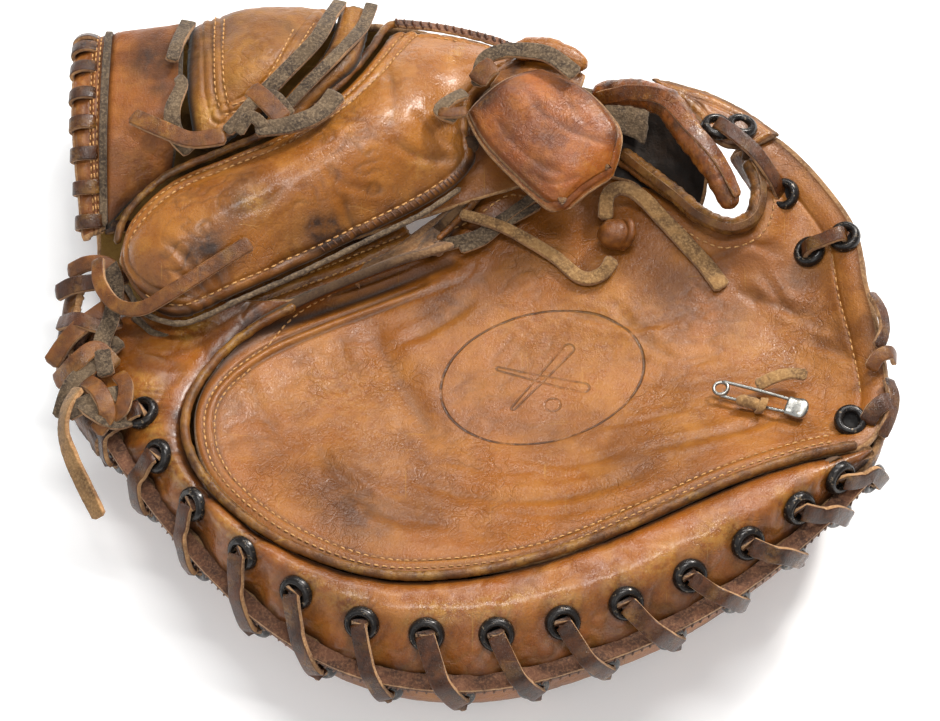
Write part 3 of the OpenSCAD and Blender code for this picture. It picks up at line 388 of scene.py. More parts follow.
TONE = (0.56, 0.48, 0.175)   # shade of old oiled leather, applied to every leather colour
def leather(name, base, dark, light, deep=None, wear_and_sheen=None, rough=0.42, grain=1.0, grain_h=0.00010, crease_h=0.00022, crease_mm=7.0,
            patch=42.0, spec=0.5, coat=0.0, blotch=0.5, stamp=False):
    M = Mat(name); mk = M.mask()
    tone = lambda q: tuple(a * b for a, b in zip(q, TONE))
    base, dark, light, deep, wear_and_sheen = tone(base), tone(dark), tone(light), deep and tone(deep), wear_and_sheen and tone(wear_and_sheen)
    deep = deep or tuple(c * 0.28 for c in dark); wear_and_sheen = wear_and_sheen or tuple(min(1, c * 1.5 + 0.06) for c in light)
    n1 = M.noise(patch, 4, 0.6, 0.6); n2 = M.noise(patch * 0.28, 5, 0.62, 0.3); n3 = M.noise(1.7, 3, 0.6); n4 = M.noise(patch * 0.6, 3, 0.5, 1.2, co=M.mapping((0.4, 0.2, 0.7), (1, 1.9, 1)))
    c = M.mix(M.rng(n1, 0.36, 0.62), dark, base)
    c = M.mix(M.math("MULTIPLY", M.rng(n2, 0.42, 0.70), 0.75), c, light)
    c = M.mix(M.math("MULTIPLY", M.rng(n4, 0.56, 0.74), blotch), c, deep if blotch > 0.75 else dark)
    # fine mottling, pores and small scuffs
    c = M.mix(M.math("MULTIPLY", M.rng(n3, 0.35, 0.7), 0.30), c, light, "MULTIPLY") if False else M.mix(M.rng(n3, 0.25, 0.75, 0.0, 0.35, "LINEAR"), c, light)
    pores = M.voro(grain * 1.15, "F1"); cells = M.voro(grain * 0.95, "DISTANCE_TO_EDGE", co=None)
    pd = M.rng(cells, 0.0, 0.10, 1.0, 0.0); c = M.mix(M.math("MULTIPLY", pd, 0.20), c, dark)
    sc = M.noise(30, 2, 0.5, 0, co=M.mapping((0, 0, 0.9), (26, 1.2, 1.2))); sc2 = M.noise(24, 2, 0.5, 0, co=M.mapping((0, 0, -0.5), (1.1, 30, 1.1)))
    scr = M.math("ADD", M.rng(sc, 0.705, 0.74), M.rng(sc2, 0.715, 0.75), clamp=True)
    c = M.mix(M.math("MULTIPLY", scr, 0.35), c, wear_and_sheen)
    # creases: thin dark lines where two noise fields cross; their darkening is painted shade in the crease lines
    cw = M.noise(crease_mm * 2.2, 2, 0.5, out=1)
    wc = M.node("ShaderNodeMix", 1, {"data_type": "VECTOR"}, i0=0.012, i4=M.co, i5=cw)
    r1 = M.math("ABSOLUTE", M.math("SUBTRACT", M.noise(crease_mm, 2, 0.45, co=wc), 0.5)); r2 = M.math("ABSOLUTE", M.math("SUBTRACT", M.noise(crease_mm * 0.42, 2, 0.5, co=wc), 0.5))
    l1 = M.rng(r1, 0.0, 0.030, 1.0, 0.0); l2 = M.rng(r2, 0.0, 0.045, 1.0, 0.0)
    zone = M.rng(M.noise(34, 2, 0.5), 0.42, 0.62)
    cr_ = M.math("MULTIPLY", M.math("MAXIMUM", l1, M.math("MULTIPLY", l2, 0.6)), zone)
    c = M.mix(M.math("MULTIPLY", cr_, 0.12), c, deep)
    if stamp: c, press = stamp_lines(M, c, deep)
    # painted masks: r oil and dirt, plus painted shade where a piece lies in shadow; g scuffed pale wear, plus painted
    # highlight on lit crests and glints; b dark seams, plus painted shade in folds and creases
    # r mixes toward the dark colour: oil and dirt, and painted shade where the masks place it
    dn = M.math("MULTIPLY", mk[0], M.rng(M.noise(6, 4, 0.65), 0.25, 0.62, 0.60, 1.25), clamp=True); c = M.mix(dn, c, deep)
    # g mixes toward the pale colour: scuffed wear, and painted highlights where the masks place them
    wear_sheen = M.math("MULTIPLY", mk[1], M.rng(M.noise(2.6, 4, 0.7), 0.36, 0.60)); c = M.mix(M.math("MULTIPLY", wear_sheen, 0.55), c, wear_and_sheen)
    # b mixes toward near-black: dark seams, and painted shade in folds and creases
    c = M.mix(M.math("MULTIPLY", mk[2], 0.92), c, tuple(v * 0.22 for v in deep))
    # gloss
    r = M.rng(n2, 0.3, 0.7, rough - 0.09, rough + 0.10, "LINEAR"); r = M.math("ADD", r, M.math("MULTIPLY", n3, 0.14)); r = M.math("SUBTRACT", r, 0.07)
    r = M.math("ADD", r, M.math("MULTIPLY", mk[2], 0.3)); r = M.math("SUBTRACT", r, M.math("MULTIPLY", mk[1], 0.18)); r = M.math("ADD", r, M.math("MULTIPLY", mk[0], 0.08)); r = M.math("ADD", r, M.math("MULTIPLY", scr, 0.2), clamp=True)
    h = M.math("MULTIPLY", M.rng(pores, 0.0, 0.62, 1.0, 0.0), 0.55); h = M.math("ADD", h, M.math("MULTIPLY", M.noise(0.55, 2, 0.6), 0.7))
    h = M.math("SUBTRACT", h, M.math("MULTIPLY", pd, 0.35)); h = M.math("SUBTRACT", h, M.math("MULTIPLY", scr, 0.4))
    b1 = M.bump(h, grain_h, 1.0)
    h2 = M.math("SUBTRACT", M.math("MULTIPLY", M.noise(2.8, 3, 0.6), 0.6), M.math("MULTIPLY", cr_, 0.45))
    if stamp: h2 = M.math("SUBTRACT", h2, press)
    b2 = M.bump(h2, crease_h, 1.0, b1)
    return M.done(c, r, b2, spec=spec * 0.68, coat=coat or 0.06, coat_r=0.27)

def stamp_lines(M, c, deep):
    """a pressed oval with two crossed bats and a ball, generic"""
    cx, cy = (STAMP["c"] + OFF[:2]) / 1000; ang = STAMP["ang"]; a, b = STAMP["ab"]
    sep = M.t.nodes.new("ShaderNodeSeparateXYZ"); M.link(sep.inputs[0], M.co); X, Y = sep.outputs[0], sep.outputs[1]
    ca, sa = math.cos(ang), math.sin(ang)
    x = M.math("SUBTRACT", X, cx); y = M.math("SUBTRACT", Y, cy)
    u = M.math("ADD", M.math("MULTIPLY", x, ca), M.math("MULTIPLY", y, sa)); v = M.math("SUBTRACT", M.math("MULTIPLY", y, ca), M.math("MULTIPLY", x, sa))
    wob = M.math("MULTIPLY", M.math("SUBTRACT", M.noise(9, 2, 0.5), 0.5), 0.012)
    def length(p, q): return M.math("SQRT", M.math("ADD", M.math("MULTIPLY", p, p), M.math("MULTIPLY", q, q)))
    e = M.math("ADD", length(M.math("DIVIDE", u, a), M.math("DIVIDE", v, b)), wob)
    lines = [M.rng(M.math("MULTIPLY", M.math("ABSOLUTE", M.math("SUBTRACT", e, 1.0)), (a + b) / 2), 0.00018, 0.00062, 1.0, 0.0)]
    def seg(p, q, r0, r1, w=0.00042):
        px, py = p; dx, dy = q[0] - p[0], q[1] - p[1]; L2 = dx * dx + dy * dy
        uu = M.math("SUBTRACT", u, px); vv = M.math("SUBTRACT", v, py)
        t = M.math("DIVIDE", M.math("ADD", M.math("MULTIPLY", uu, dx), M.math("MULTIPLY", vv, dy)), L2, clamp=True)
        d = length(M.math("SUBTRACT", uu, M.math("MULTIPLY", t, dx)), M.math("SUBTRACT", vv, M.math("MULTIPLY", t, dy)))
        d = M.math("ABSOLUTE", M.math("SUBTRACT", d, M.math("ADD", M.math("MULTIPLY", t, r1 - r0), r0)))
        return M.rng(d, w * 0.4, w * 1.3, 1.0, 0.0)
    lines += [seg((-0.013, -0.0085), (0.012, 0.0085), 0.0007, 0.0019), seg((-0.013, 0.0085), (0.012, -0.0085), 0.0007, 0.0019), seg((0.0, -0.0115), (0.0001, -0.0115), 0.0026, 0.0026)]
    L = lines[0]
    for q in lines[1:]: L = M.math("MAXIMUM", L, M.math("MULTIPLY", q, 0.7))
    fade = M.rng(M.noise(8, 3, 0.6), 0.34, 0.55, 0.35, 1.0); L = M.math("MULTIPLY", L, fade)
    return M.mix(M.math("MULTIPLY", L, 0.85), c, tuple(k * 0.6 for k in deep)), M.math("MULTIPLY", L, 1.0)

def suede(name, base, dark, light, rough=0.85):
    M = Mat(name); mk = M.mask(); n1 = M.noise(9, 4, 0.65, 0.4); n2 = M.noise(0.9, 4, 0.7); n3 = M.noise(2.6, 3, 0.6)
    c = M.mix(M.rng(n1, 0.36, 0.64), dark, base); c = M.mix(M.rng(n2, 0.4, 0.72, 0, 0.7), c, light); c = M.mix(M.rng(n3, 0.58, 0.75, 0, 0.6), c, dark)
    c = M.mix(M.math("MULTIPLY", mk[0], 0.75), c, tuple(v * 0.35 for v in dark)); c = M.mix(M.math("MULTIPLY", mk[2], 0.9), c, tuple(v * 0.12 for v in dark))
    h = M.math("ADD", M.math("MULTIPLY", n2, 1.0), M.math("MULTIPLY", M.noise(0.35, 2, 0.6), 0.6)); h = M.math("ADD", h, M.math("MULTIPLY", n3, 0.8))
    return M.done(c, M.rng(n2, 0.3, 0.7, rough - 0.08, min(1, rough + 0.1), "LINEAR"), M.bump(h, 0.00030), spec=0.25, sheen=0.12)

def thread(name, base, dark):
    M = Mat(name); n = M.noise(0.45, 2, 0.6); c = M.mix(M.rng(n, 0.35, 0.65), dark, base); c = M.mix(M.rng(M.noise(14, 2, 0.5), 0.45, 0.65, 0, 0.6), c, dark)
    return M.done(c, 0.62, M.bump(n, 0.00008), spec=0.35)


def vw(x, y, z=50.0):
    """the point at height z that the main view shows at x, y"""
    X = (x - 470) * 0.34; v = (360 - y) * 0.34; return np.array([X, (v - (z - 55) * 0.438) / 0.899, z])
def vws(L, z=50.0): return np.array([vw(*p, z) if len(p) == 2 else vw(*p) for p in L])
STAMP = dict(c=np.array([28.0, -9.0]), ang=math.radians(17), ab=(0.0352, 0.0262))

M_PALM = leather("LeatherPalm", lin(176,108,58), lin(140,84,44), lin(196,134,84), deep=lin(74,42,27), wear_and_sheen=lin(222,172,128), rough=0.33, stamp=True, patch=50, blotch=0.55, crease_h=0.00032)
M_RIM = leather("LeatherRim", lin(178,104,52), lin(146,82,40), lin(202,138,84), deep=lin(80,44,27), wear_and_sheen=lin(228,186,146), rough=0.29, patch=36, blotch=0.5, coat=0.32)
M_THUMB = leather("LeatherThumb", lin(184,118,62), lin(150,90,46), lin(204,142,88), deep=lin(66,40,28), wear_and_sheen=lin(226,180,138), rough=0.30, patch=40, blotch=0.5, coat=0.22)
M_CUFF = leather("LeatherCuff", lin(164,96,50), lin(128,72,36), lin(186,122,74), deep=lin(66,38,24), wear_and_sheen=lin(206,156,112), rough=0.46, patch=26)
M_GUS = leather("LeatherGusset", lin(172,112,60), lin(136,84,44), lin(200,146,94), deep=lin(70,44,28), wear_and_sheen=lin(222,180,138), rough=0.42, patch=24)
M_BACK = leather("LeatherBack", lin(176,106,54), lin(136,78,40), lin(200,138,86), deep=lin(76,44,28), wear_and_sheen=lin(218,170,124), rough=0.45, patch=34, crease_h=0.0003)
M_WEB = leather("LeatherWeb", lin(172,94,50), lin(122,62,33), lin(200,126,76), deep=lin(52,26,15), wear_and_sheen=lin(204,148,100), rough=0.36, patch=22, crease_mm=5, crease_h=0.0003, blotch=0.6)
M_ROLL = leather("LeatherRoll", lin(146,80,44), lin(98,52,29), lin(180,110,66), deep=lin(46,24,15), wear_and_sheen=lin(216,160,112), rough=0.30, patch=16, crease_mm=4, crease_h=0.0003)
M_CORD = leather("LeatherCord", lin(150,96,66), lin(104,64,44), lin(176,128,92), deep=lin(52,32,22), wear_and_sheen=lin(214,176,142), rough=0.36, patch=16, crease_mm=3.5)
M_PIPE = leather("LeatherPiping", lin(128,78,46), lin(78,46,27), lin(168,114,74), deep=lin(50,28,18), wear_and_sheen=lin(216,172,130), rough=0.42, patch=14, crease_mm=3)
M_LACE = leather("LaceDark", lin(92,50,36), lin(50,28,21), lin(134,80,56), deep=lin(30,18,13), wear_and_sheen=lin(206,160,128), rough=0.30, patch=12, crease_mm=3.2, grain=0.7, crease_h=0.00016)
M_LACEB = leather("LaceBrown", lin(142,84,46), lin(96,54,30), lin(178,118,72), deep=lin(52,29,18), wear_and_sheen=lin(214,168,124), rough=0.42, patch=12, crease_mm=3.2, grain=0.7, crease_h=0.00016)
M_EDGE = suede("RawEdge", lin(176,130,84), lin(120,82,50), lin(208,168,122), 0.78)
M_FLESH = suede("FleshSide", lin(150,106,66), lin(100,68,44), lin(184,144,100), 0.85)
M_GREY = suede("SuedeGrey", lin(92,74,54), lin(52,40,30), lin(146,124,98), 0.88)
M_STRAW = suede("SuedeStraw", lin(146,108,64), lin(96,68,40), lin(186,148,100), 0.86)
M_WELT = suede("WeltLeather", lin(108,68,46), lin(62,38,27), lin(150,108,78), 0.72)
M_LINING = leather("LeatherLining", lin(186,146,100), lin(150,112,74), lin(208,172,128), rough=0.6, patch=30, crease_h=0.0002)
M_FELT = suede("Felt", lin(206,192,164), lin(176,160,130), lin(228,218,196), 0.95)
M_THREAD = thread("ThreadTan", lin(206,158,98), lin(140,96,56))
M_THREADD = thread("ThreadDark", lin(110,72,46), lin(60,38,26))
def metal(name, col, rough, dark, metallic=1.0, chip=None):
    M = Mat(name); n = M.noise(2.2, 4, 0.7); c = M.mix(M.rng(n, 0.45, 0.68, 0, 0.7), col, dark)
    if chip: c = M.mix(M.rng(M.noise(1.6, 4, 0.75), 0.60, 0.66), c, chip)
    r = M.rng(M.noise(1.2, 3, 0.6), 0.3, 0.7, rough - 0.07, rough + 0.14, "LINEAR"); return M.done(c, r, M.bump(n, 0.00004), metal=metallic)
M_STEEL = metal("PinSteel", lin(158,156,150), 0.30, lin(120,112,100)); M_BRASS = metal("BrassOld", lin(196,160,96), 0.34, lin(104,78,44))
# the second eyelet material is a near-black matte finish for the floor of each eyelet hole: painted shade for the dark
# inside of the hole
M_ENAMEL = metal("EyeletEnamel", lin(26,22,20), 0.24, lin(40,34,30), 0.35, chip=lin(120,104,84)); M_HOLE_SHADE = metal("HoleShadeDark", lin(12,8,6), 0.85, lin(18,12,9), 0.0)

def stitches(acc, S, fg, pitch=2.9, length=2.15, r=0.36, lift=0.05, mat=0, jit=0.12, seed=0):
    """a row of thread on surface S along the (f, g) line"""
    fg = np.asarray(fg, float); P, _ = S.at(fg[:, 0], fg[:, 1]); s = arc(P); n = int(s[-1] / pitch); rs = np.random.RandomState(seed + 101)
    for k in range(n):
        m = (k + 0.5) * pitch + rs.uniform(-jit, jit); q = np.array([m - length / 2, m + length / 2])
        f = np.interp(q, s, fg[:, 0]); g = np.interp(q, s, fg[:, 1]); p, nn = S.at(f, g); u = unit(nn.mean(0)); side = unit(np.cross(u, p[1] - p[0]))
        e = rs.uniform(-0.10, 0.10, 2); capsule(acc, p[0] + u * lift + side * e[0], p[1] + u * lift + side * e[1], r * rs.uniform(0.9, 1.08), u, mat)
def level(S, D, d, f0=0.0, f1=1.0, k=240, hi=0.6, from_top=False):
    """the (f, g) line on S where the distance field D is d, walking in from g = 0 (or 1)"""
    n, m = D.shape; out = []
    for f in np.linspace(f0, f1, k):
        i = int(round(f * (n - 1))); row = D[i][::-1] if from_top else D[i]
        j = np.argmax(row >= d)
        if row[j] >= d and j > 0:
            g = (j - 1 + (d - row[j - 1]) / max(row[j] - row[j - 1], 1e-6)) / (m - 1)
            if g < hi: out.append([f, 1 - g if from_top else g])
    out = np.array(out); 
    if len(out) > 9:
        ker = np.ones(5) / 5; pad = np.pad(out[:, 1], 2, mode="edge"); out[:, 1] = np.convolve(pad, ker, "valid")
    return out
def blobs(G, L):
    """sum of soft patches: (x, y, radius, strength) in view units"""
    o = 0
    for x, y, r, s in L:
        p = vw(x, y, 55); o = o + s * np.exp(-((G[..., 0] - p[0]) ** 2 + (G[..., 1] - p[1]) ** 2 + 0.3 * (G[..., 2] - 55) ** 2 * 0) / (r * 0.34) ** 2)
    return np.clip(o, 0, 1)
def crease_set(G, L):
    """L: list of (points in view units, depth, width); returns height change and darkness, the darkness painted shade
    in each crease
    """
    h = np.zeros(G.shape[:2]); dk = np.zeros(G.shape[:2])
    for pts, dep, wid in L:
        line = even(vws(pts, 55), step=4); d, t = polydist(G, line); e = np.clip(np.minimum(t, 1 - t) * 5, 0, 1)
        d = d + 0.7 * noise(G, 7, 5)
        h -= dep * e * gauss(d, wid) - dep * 0.45 * e * gauss(d - wid * 1.9, wid * 1.1) - dep * 0.35 * e * gauss(d + wid * 1.9, wid * 1.1); dk += min(dep, 1) * 0.55 * e * gauss(d, wid * 0.5)
    return h, dk
def wrinkle(G, mm, seed, stretch=(1, 1, 1), warp=2.0):
    """fine folds: 0..1 ridge lines"""
    P = G * np.asarray(stretch, float); return np.clip(ridged(P, mm, seed, warp) - 0.55, 0, 1) / 0.45

# ================================================================== palm
n, m = 372, 124
T = np.linspace(0, 1, n); Sx = np.linspace(0.012, 0.992, m); a, b = along(PL, T), along(PU, T)
G = a[:, None] + (b - a)[:, None] * Sx[None, :, None]
G[..., 2] -= 11 * np.sin(np.pi * Sx)[None] * (np.minimum(1, 4 * T) * np.minimum(1, 3 * (1 - T)))[:, None]
dL, tL = polydist(G, even(PL, step=4)); dU, tU = polydist(G, even(PU, step=4)); d1, _ = polydist(G, np.array([PL[-1], PU[-1]]))
sk = np.maximum(dL, 0)
seam = smooth(0.0, 0.05, tL) * (1 - smooth(0.62, 0.70, tL))          # piped part of the border
h = -2.0 * gauss(sk, 2.0) * seam - 1.2 * gauss(sk, 2.4) * (1 - seam)
h += seam * (0.55 * gauss(sk - 5.7, 1.0) + 0.5 * smooth(8.5, 13, sk) * np.exp(-sk / 60) - 0.55 * gauss(sk - 4.0, 0.62) - 0.55 * gauss(sk - 7.4, 0.62))
h += (1 - seam) * (0.4 * gauss(sk - 5, 2.5) - 0.45 * gauss(sk - 8.2, 0.7))
h += -1.3 * gauss(dU, 2.2) + 0.4 * gauss(dU - 6, 3)
ch, cd = crease_set(G, [
    ([(372,312),(392,350),(414,392),(434,428),(452,456)], 0.9, 4.2), ([(322,440),(345,486),(388,528),(440,552)], 0.8, 2.2), ([(338,470),(372,505),(420,535),(470,548)], 0.6, 1.6),
    ([(410,486),(470,508),(540,518),(610,510),(668,488)], 0.8, 2.4), ([(488,296),(444,326),(398,348)], 0.7, 2.0), ([(560,304),(604,322),(660,330),(722,316)], 0.6, 2.0),
    ([(640,472),(690,464),(742,452),(800,436)], 0.6, 1.8), ([(740,296),(790,316),(842,328)], 0.8, 2.2), ([(770,280),(806,326),(852,344)], 0.5, 1.8), ([(812,350),(842,362),(866,380)], 0.7, 1.8),
    ([(250,360),(268,412),(300,462)], 0.5, 2.4), ([(520,470),(580,480),(640,470)], 0.45, 1.5), ([(480,520),(560,536),(640,526),(700,500)], 0.5, 1.5), ([(690,250),(716,268),(760,262),(800,270)], 0.6, 1.6),
    ([(450,470),(500,484),(560,486)], 0.4, 1.2), ([(600,440),(650,436),(700,424)], 0.35, 1.2), ([(400,410),(430,470),(470,500)], 0.4, 1.5), ([(620,300),(650,340),(690,372)], 0.4, 1.8)])
h += ch
zone = smooth(-0.15, 0.35, noise(G, 38, 2)); fine = wrinkle(G, 9, 21, (1, 1.5, 1)) * zone; fine2 = wrinkle(G, 4.6, 23, (1.2, 1, 1), 1.2) * smooth(-0.1, 0.4, noise(G, 30, 6))
inner = smooth(8, 14, sk) * smooth(2, 9, dU)
h += inner * (0.75 * fbm(G, 44, 2, 1) + 0.22 * fbm(G, 13, 2, 4) - 0.30 * fine - 0.14 * fine2) + 0.05 * noise(G, 3.2, 8)
e_x, e_y = (G[..., 0] - 28.0), (G[..., 1] + 9.0); ca, sa = math.cos(STAMP["ang"]), math.sin(STAMP["ang"])
eo = np.sqrt(((e_x * ca + e_y * sa) / 35.2) ** 2 + ((e_y * ca - e_x * sa) / 26.2) ** 2); h -= 0.16 * gauss((eo - 1) * 30.7, 0.8)
mask = np.zeros(G.shape); warp = 0.25 * fbm(G, 12, 3, 9)
# mask r: dark stains and oil patches; the patch at (470, 285) below the tie lace is painted shadow
mask[..., 0] = np.clip(blobs(G, [(350,505,38,.55),(372,545,40,.55),(438,534,26,.35),(470,285,38,.55),(540,262,26,.45),(690,296,34,.5),(742,330,30,.3),(800,300,34,.45),(640,486,34,.4),(240,410,26,.35),(292,480,22,.35),
    (560,440,30,.35),(705,505,26,.35),(850,350,26,.5),(400,330,30,.25),(600,215,40,.4),(520,380,20,.2),(505,215,36,.6),(735,270,26,.4),(445,310,26,.4)]) * (0.75 + warp) * 1.05 + 0.08 * fine * inner, 0, 1)
# mask g: the pale patches are painted highlights where the palm catches the light, also lowering the roughness there
mask[..., 1] = np.clip(blobs(G, [(350,395,46,.55),(600,380,70,.35),(770,360,46,.45),(620,310,44,.3),(700,440,36,.35),(380,455,30,.3),(520,330,40,.25),(270,400,22,.3),(560,500,44,.25),(730,190,40,.3)]) * (0.8 + warp) + 0.5 * seam * gauss(sk - 5.7, 1.1) * np.clip(noise(G, 16, 3) + .4, 0, 1), 0, 1)
# mask b: dark seam lines, and painted shade in the creases
mask[..., 2] = np.clip(1.0 * gauss(sk, 1.5) * (0.5 + 0.5 * seam) + seam * 0.62 * (gauss(sk - 4.0, 0.8) + gauss(sk - 7.4, 0.8)) + 0.8 * gauss(dU, 1.5) + 0.6 * cd + 0.14 * inner * fine + 0.10 * inner * fine2, 0, 1)
SP = Surf(G); SP.push(h)
palm = shell("PalmPanel", SP, 3.0, M_PALM, "finger_side", mask, edge_mat=M_EDGE, back_mat=M_FLESH, replaces=["palm_panel"], slot="shell_leather")
st = Mesh()
for d_, sd in ((4.0, 1), (7.4, 2)):
    L = level(SP, dL, d_, 0.012, 0.64, 300, 0.3); stitches(st, SP, L, 2.75, 2.05, 0.34, seed=sd)
L = level(SP, dL, 8.2, 0.70, 0.985, 160, 0.35); stitches(st, SP, L, 2.9, 2.1, 0.34, seed=3)
L = level(SP, dU, 4.5, 0.10, 0.93, 240, 0.3, True); stitches(st, SP, L, 2.9, 2.1, 0.34, seed=4)
st.build("PalmStitching", [M_THREAD], "finger_side", slot="trim_leather")

# ================================================================== rim
def rim_at(t, s): return cr(np.stack([cr(Q, t), cr(KR, t), cr(E, t)]), np.asarray(s) * 2.0) if np.ndim(s) == 0 else None
KR = Q + (E - Q) * 0.45 + np.stack([0 * RISE, -0.15 * RISE, RISE], 1)
RS0 = Surf(loft([Q, KR, E], 300, 40, 0, 1, 0.0, 1.0))
n, m = 430, 58
G = loft([Q, KR, E], n, m, 0, 1, 0.025, 0.975); tt = np.linspace(0, 15, n)[:, None] * np.ones((1, m)); ss = np.linspace(0.025, 0.975, m)[None] * np.ones((n, 1))
ER = [RS0.at(t / 15, s) for t, s in zip(EYE_T, EYE_S)]; EP = np.array([e[0] for e in ER]); EN = np.array([e[1] for e in ER])
dE = np.full((n, m), 1e9); ang = np.zeros((n, m)); near = np.zeros((n, m), int)
for k, p in enumerate(EP):
    d = np.linalg.norm(G - p, axis=2); q = d < dE; near[q] = k; dE = np.minimum(dE, d)
dq, _ = polydist(G, even(Q, step=4)); de, te = polydist(G, even(E, step=4))
ek = np.interp(te, [0, 1], [0, 15])
# scallops: the edge is pulled in where a lace crosses it
lace_t = (EYE_T + 0.42); ph = np.zeros((n, m))
for t in lace_t: ph = np.maximum(ph, gauss(tt - t, 0.24))
side = smooth(0.42, 0.95, ss)
h = -1.4 * gauss(dq, 1.9) + 0.7 * gauss(dq - 5.5, 3.0) - 1.5 * gauss(dE, 6.6) - 4.2 * smooth(4.3, 3.3, dE) + side * (0.9 - 2.2 * ph) * smooth(2.6, 3.4, tt) - 1.0 * gauss(de, 1.6)
pull = wrinkle(G, 6.5, 41, (1, 1, 1), 2.5) * side; soft = wrinkle(G, 12, 43, (1, 1, 1), 3.0)
h += 0.55 * fbm(G, 24, 3, 12) + 0.12 * fbm(G, 7, 2, 13) - 0.38 * pull - 0.28 * soft * smooth(-0.1, 0.3, noise(G, 30, 15)) + 0.05 * noise(G, 3, 16)
rad = wrinkle(np.stack([tt * 26, ss * 6, 0 * tt], -1), 5.0, 45, (1, 0.5, 1), 0.6); h -= 0.30 * rad * gauss(dE - 7.5, 3.0)
mask = np.zeros(G.shape)
mask[..., 0] = np.clip(0.7 * gauss(dE, 7.0) * (0.6 + 0.6 * noise(G, 8, 17)) + 0.55 * smooth(0.80, 0.98, ss) + 0.35 * smooth(0.1, 0.45, noise(G, 22, 18)) + 0.45 * gauss(dq - 2.2, 2.2) + 0.35 * (1 - smooth(4.0, 7.5, tt)) * smooth(0.0, 0.4, noise(G, 13, 55)), 0, 1)
# mask g: the pale band along the crest is a painted highlight, also lowering the roughness there; the pulled folds get
# some pale too
mask[..., 1] = np.clip(smooth(0.25, 0.42, ss) * (1 - smooth(0.55, 0.72, ss)) * 0.75 * smooth(-0.25, 0.35, noise(G, 18, 19)) + 0.35 * pull * side, 0, 1)
mask[..., 2] = np.clip(1.0 * gauss(dq, 1.5) + 0.9 * smooth(6.9, 5.4, dE) * 0.6 + 0.9 * gauss(de, 1.3) + 0.30 * pull + 0.35 * rad * gauss(dE - 7.5, 3.0), 0, 1)
SR = Surf(G); SR.push(h)
rim = shell("RimCover", SR, 3.0, M_RIM, "finger_side", mask, edge_mat=M_EDGE, back_mat=M_FLESH, replaces=["rim_cover"], slot="shell_leather")

# piping between palm and rim
acc = Mesh()
C = along(Q, (0.3 + 14.5 * np.linspace(0, 1, 60)) / 15) + np.array([0, 0, 2.3])
def pm(V): k = np.zeros((len(V), 3)); k[:, 1] = np.clip(noise(V, 9, 3) + .25, 0, 1); k[:, 0] = np.clip(noise(V, 15, 4) + .1, 0, 1); return k
tube(acc, C, 1.65, 14, 0.9, mat=0, bumpy=0.18, wr=(-0.16, 3.2), seed=3, mask=pm, squash=1.05)
acc.build("PalmPiping", [M_PIPE], "finger_side", replaces=["palm_piping"], slot="trim_leather")

# ------------------------------------------------------------------ eyelets
def eyelet(acc, p, nrm, R=5.8, roll=1.45, depth=4.0, seed=0, low=0.55):
    nrm = unit(nrm); x = unit(np.cross(nrm, [0.13, 0.98, 0.1])); y = np.cross(nrm, x); k = 40
    prof = [(R + 0.25, -0.9), (R + 0.1, -0.1), (R - 0.1, 0.55), (R - 0.7, 1.2), (R - 1.5, 1.45), (R - 2.2, 1.15), (R - 2.65, 0.5), (R - 2.8, -0.4), (R - 2.85, -depth), (R - 2.9, -depth - 0.4), (0.001, -depth - 0.4)]
    a = np.linspace(0, 2 * math.pi, k, endpoint=False); V = []; rs = np.random.RandomState(seed + 5)
    for r, z in prof: V.append(p + (x[None] * np.cos(a)[:, None] + y[None] * np.sin(a)[:, None]) * r + nrm * (z + low - 0.35))
    under = [(0.001, -depth - 1.0), (R - 2.4, -depth - 1.0), (R - 2.2, -0.9), (R + 0.25, -1.2)]
    for r, z in under: V.append(p + (x[None] * np.cos(a)[:, None] + y[None] * np.sin(a)[:, None]) * r + nrm * (z + low - 0.35))
    n_ = len(prof); nu = len(under); V = np.vstack(V); V = V + 0.08 * noise(V, 2.0, seed)[:, None] * nrm
    order = list(range(n_ - 1, -1, -1)) + [n_ + nu - 1 - q for q in range(nu)]      # closed loop from hole centre out and back under
    F = []; fm = []
    for q in range(len(order) - 1):
        A_, B_ = order[q], order[q + 1]; j = np.arange(k); f = np.stack([A_ * k + j, B_ * k + j, B_ * k + (j + 1) % k, A_ * k + (j + 1) % k], -1)
        # faces from the barrel's foot to the hole floor take the second material, painted shade
        F.append(f); fm.append(np.full(k, 1 if (A_ < n_ and A_ >= 8) else 0))
    acc.add(V, np.vstack(F), np.concatenate(fm))
acc = Mesh()
for k in range(len(EP)):
    p, nn = SR.at(EYE_T[k] / 15, (EYE_S[k] - 0.025) / 0.95); eyelet(acc, EP[k] - EN[k] * 0.9 + EN[k] * 1.0, EN[k], seed=k)
TIPN = unit(A([.1,-.1,1],[-.45,0,1],[-.3,0,1],[-.45,-.3,1],[.2,.3,1],[.2,.4,1])); TIP = A([131,-33,67],[119,34.5,59.6],[131,37.5,65],[110.5,54,64.2],[88.5,76,73.4],[97,77,72.2])
for k in range(6): eyelet(acc, TIP[k] - TIPN[k] * 0.9, TIPN[k], R=5.4, depth=1.0, seed=40 + k)
acc.build("PalmSideEyelets", [M_ENAMEL, M_HOLE_SHADE], "finger_side", replaces=["palm_side_eyelets"], slot="eyelet_enamel")
def outw(P, i):
    i = int(min(max(i, 0), len(P) - 1)); t = unit(P[min(i + 1, len(P) - 1)] - P[max(i - 1, 0)]); return unit(np.array([t[1], -t[0], 0.0]))
def at_(P, t): return cr(P, np.array([t]))[0]
BE = []; BO = []
for t in EYE_T:
    o = outw(E, min(15, int(round(t + 0.62)))); BE.append(at_(E, min(t + 0.62, 15)) + o * 1.9 + np.array([0, 0, -11.0])); BO.append(o)
BE, BO = np.array(BE), np.array(BO)
acc = Mesh()
for k in range(len(BE)): eyelet(acc, BE[k] - BO[k] * 0.6, BO[k] + np.array([0, 0, 0.12]), R=5.4, depth=1.6, seed=60 + k)
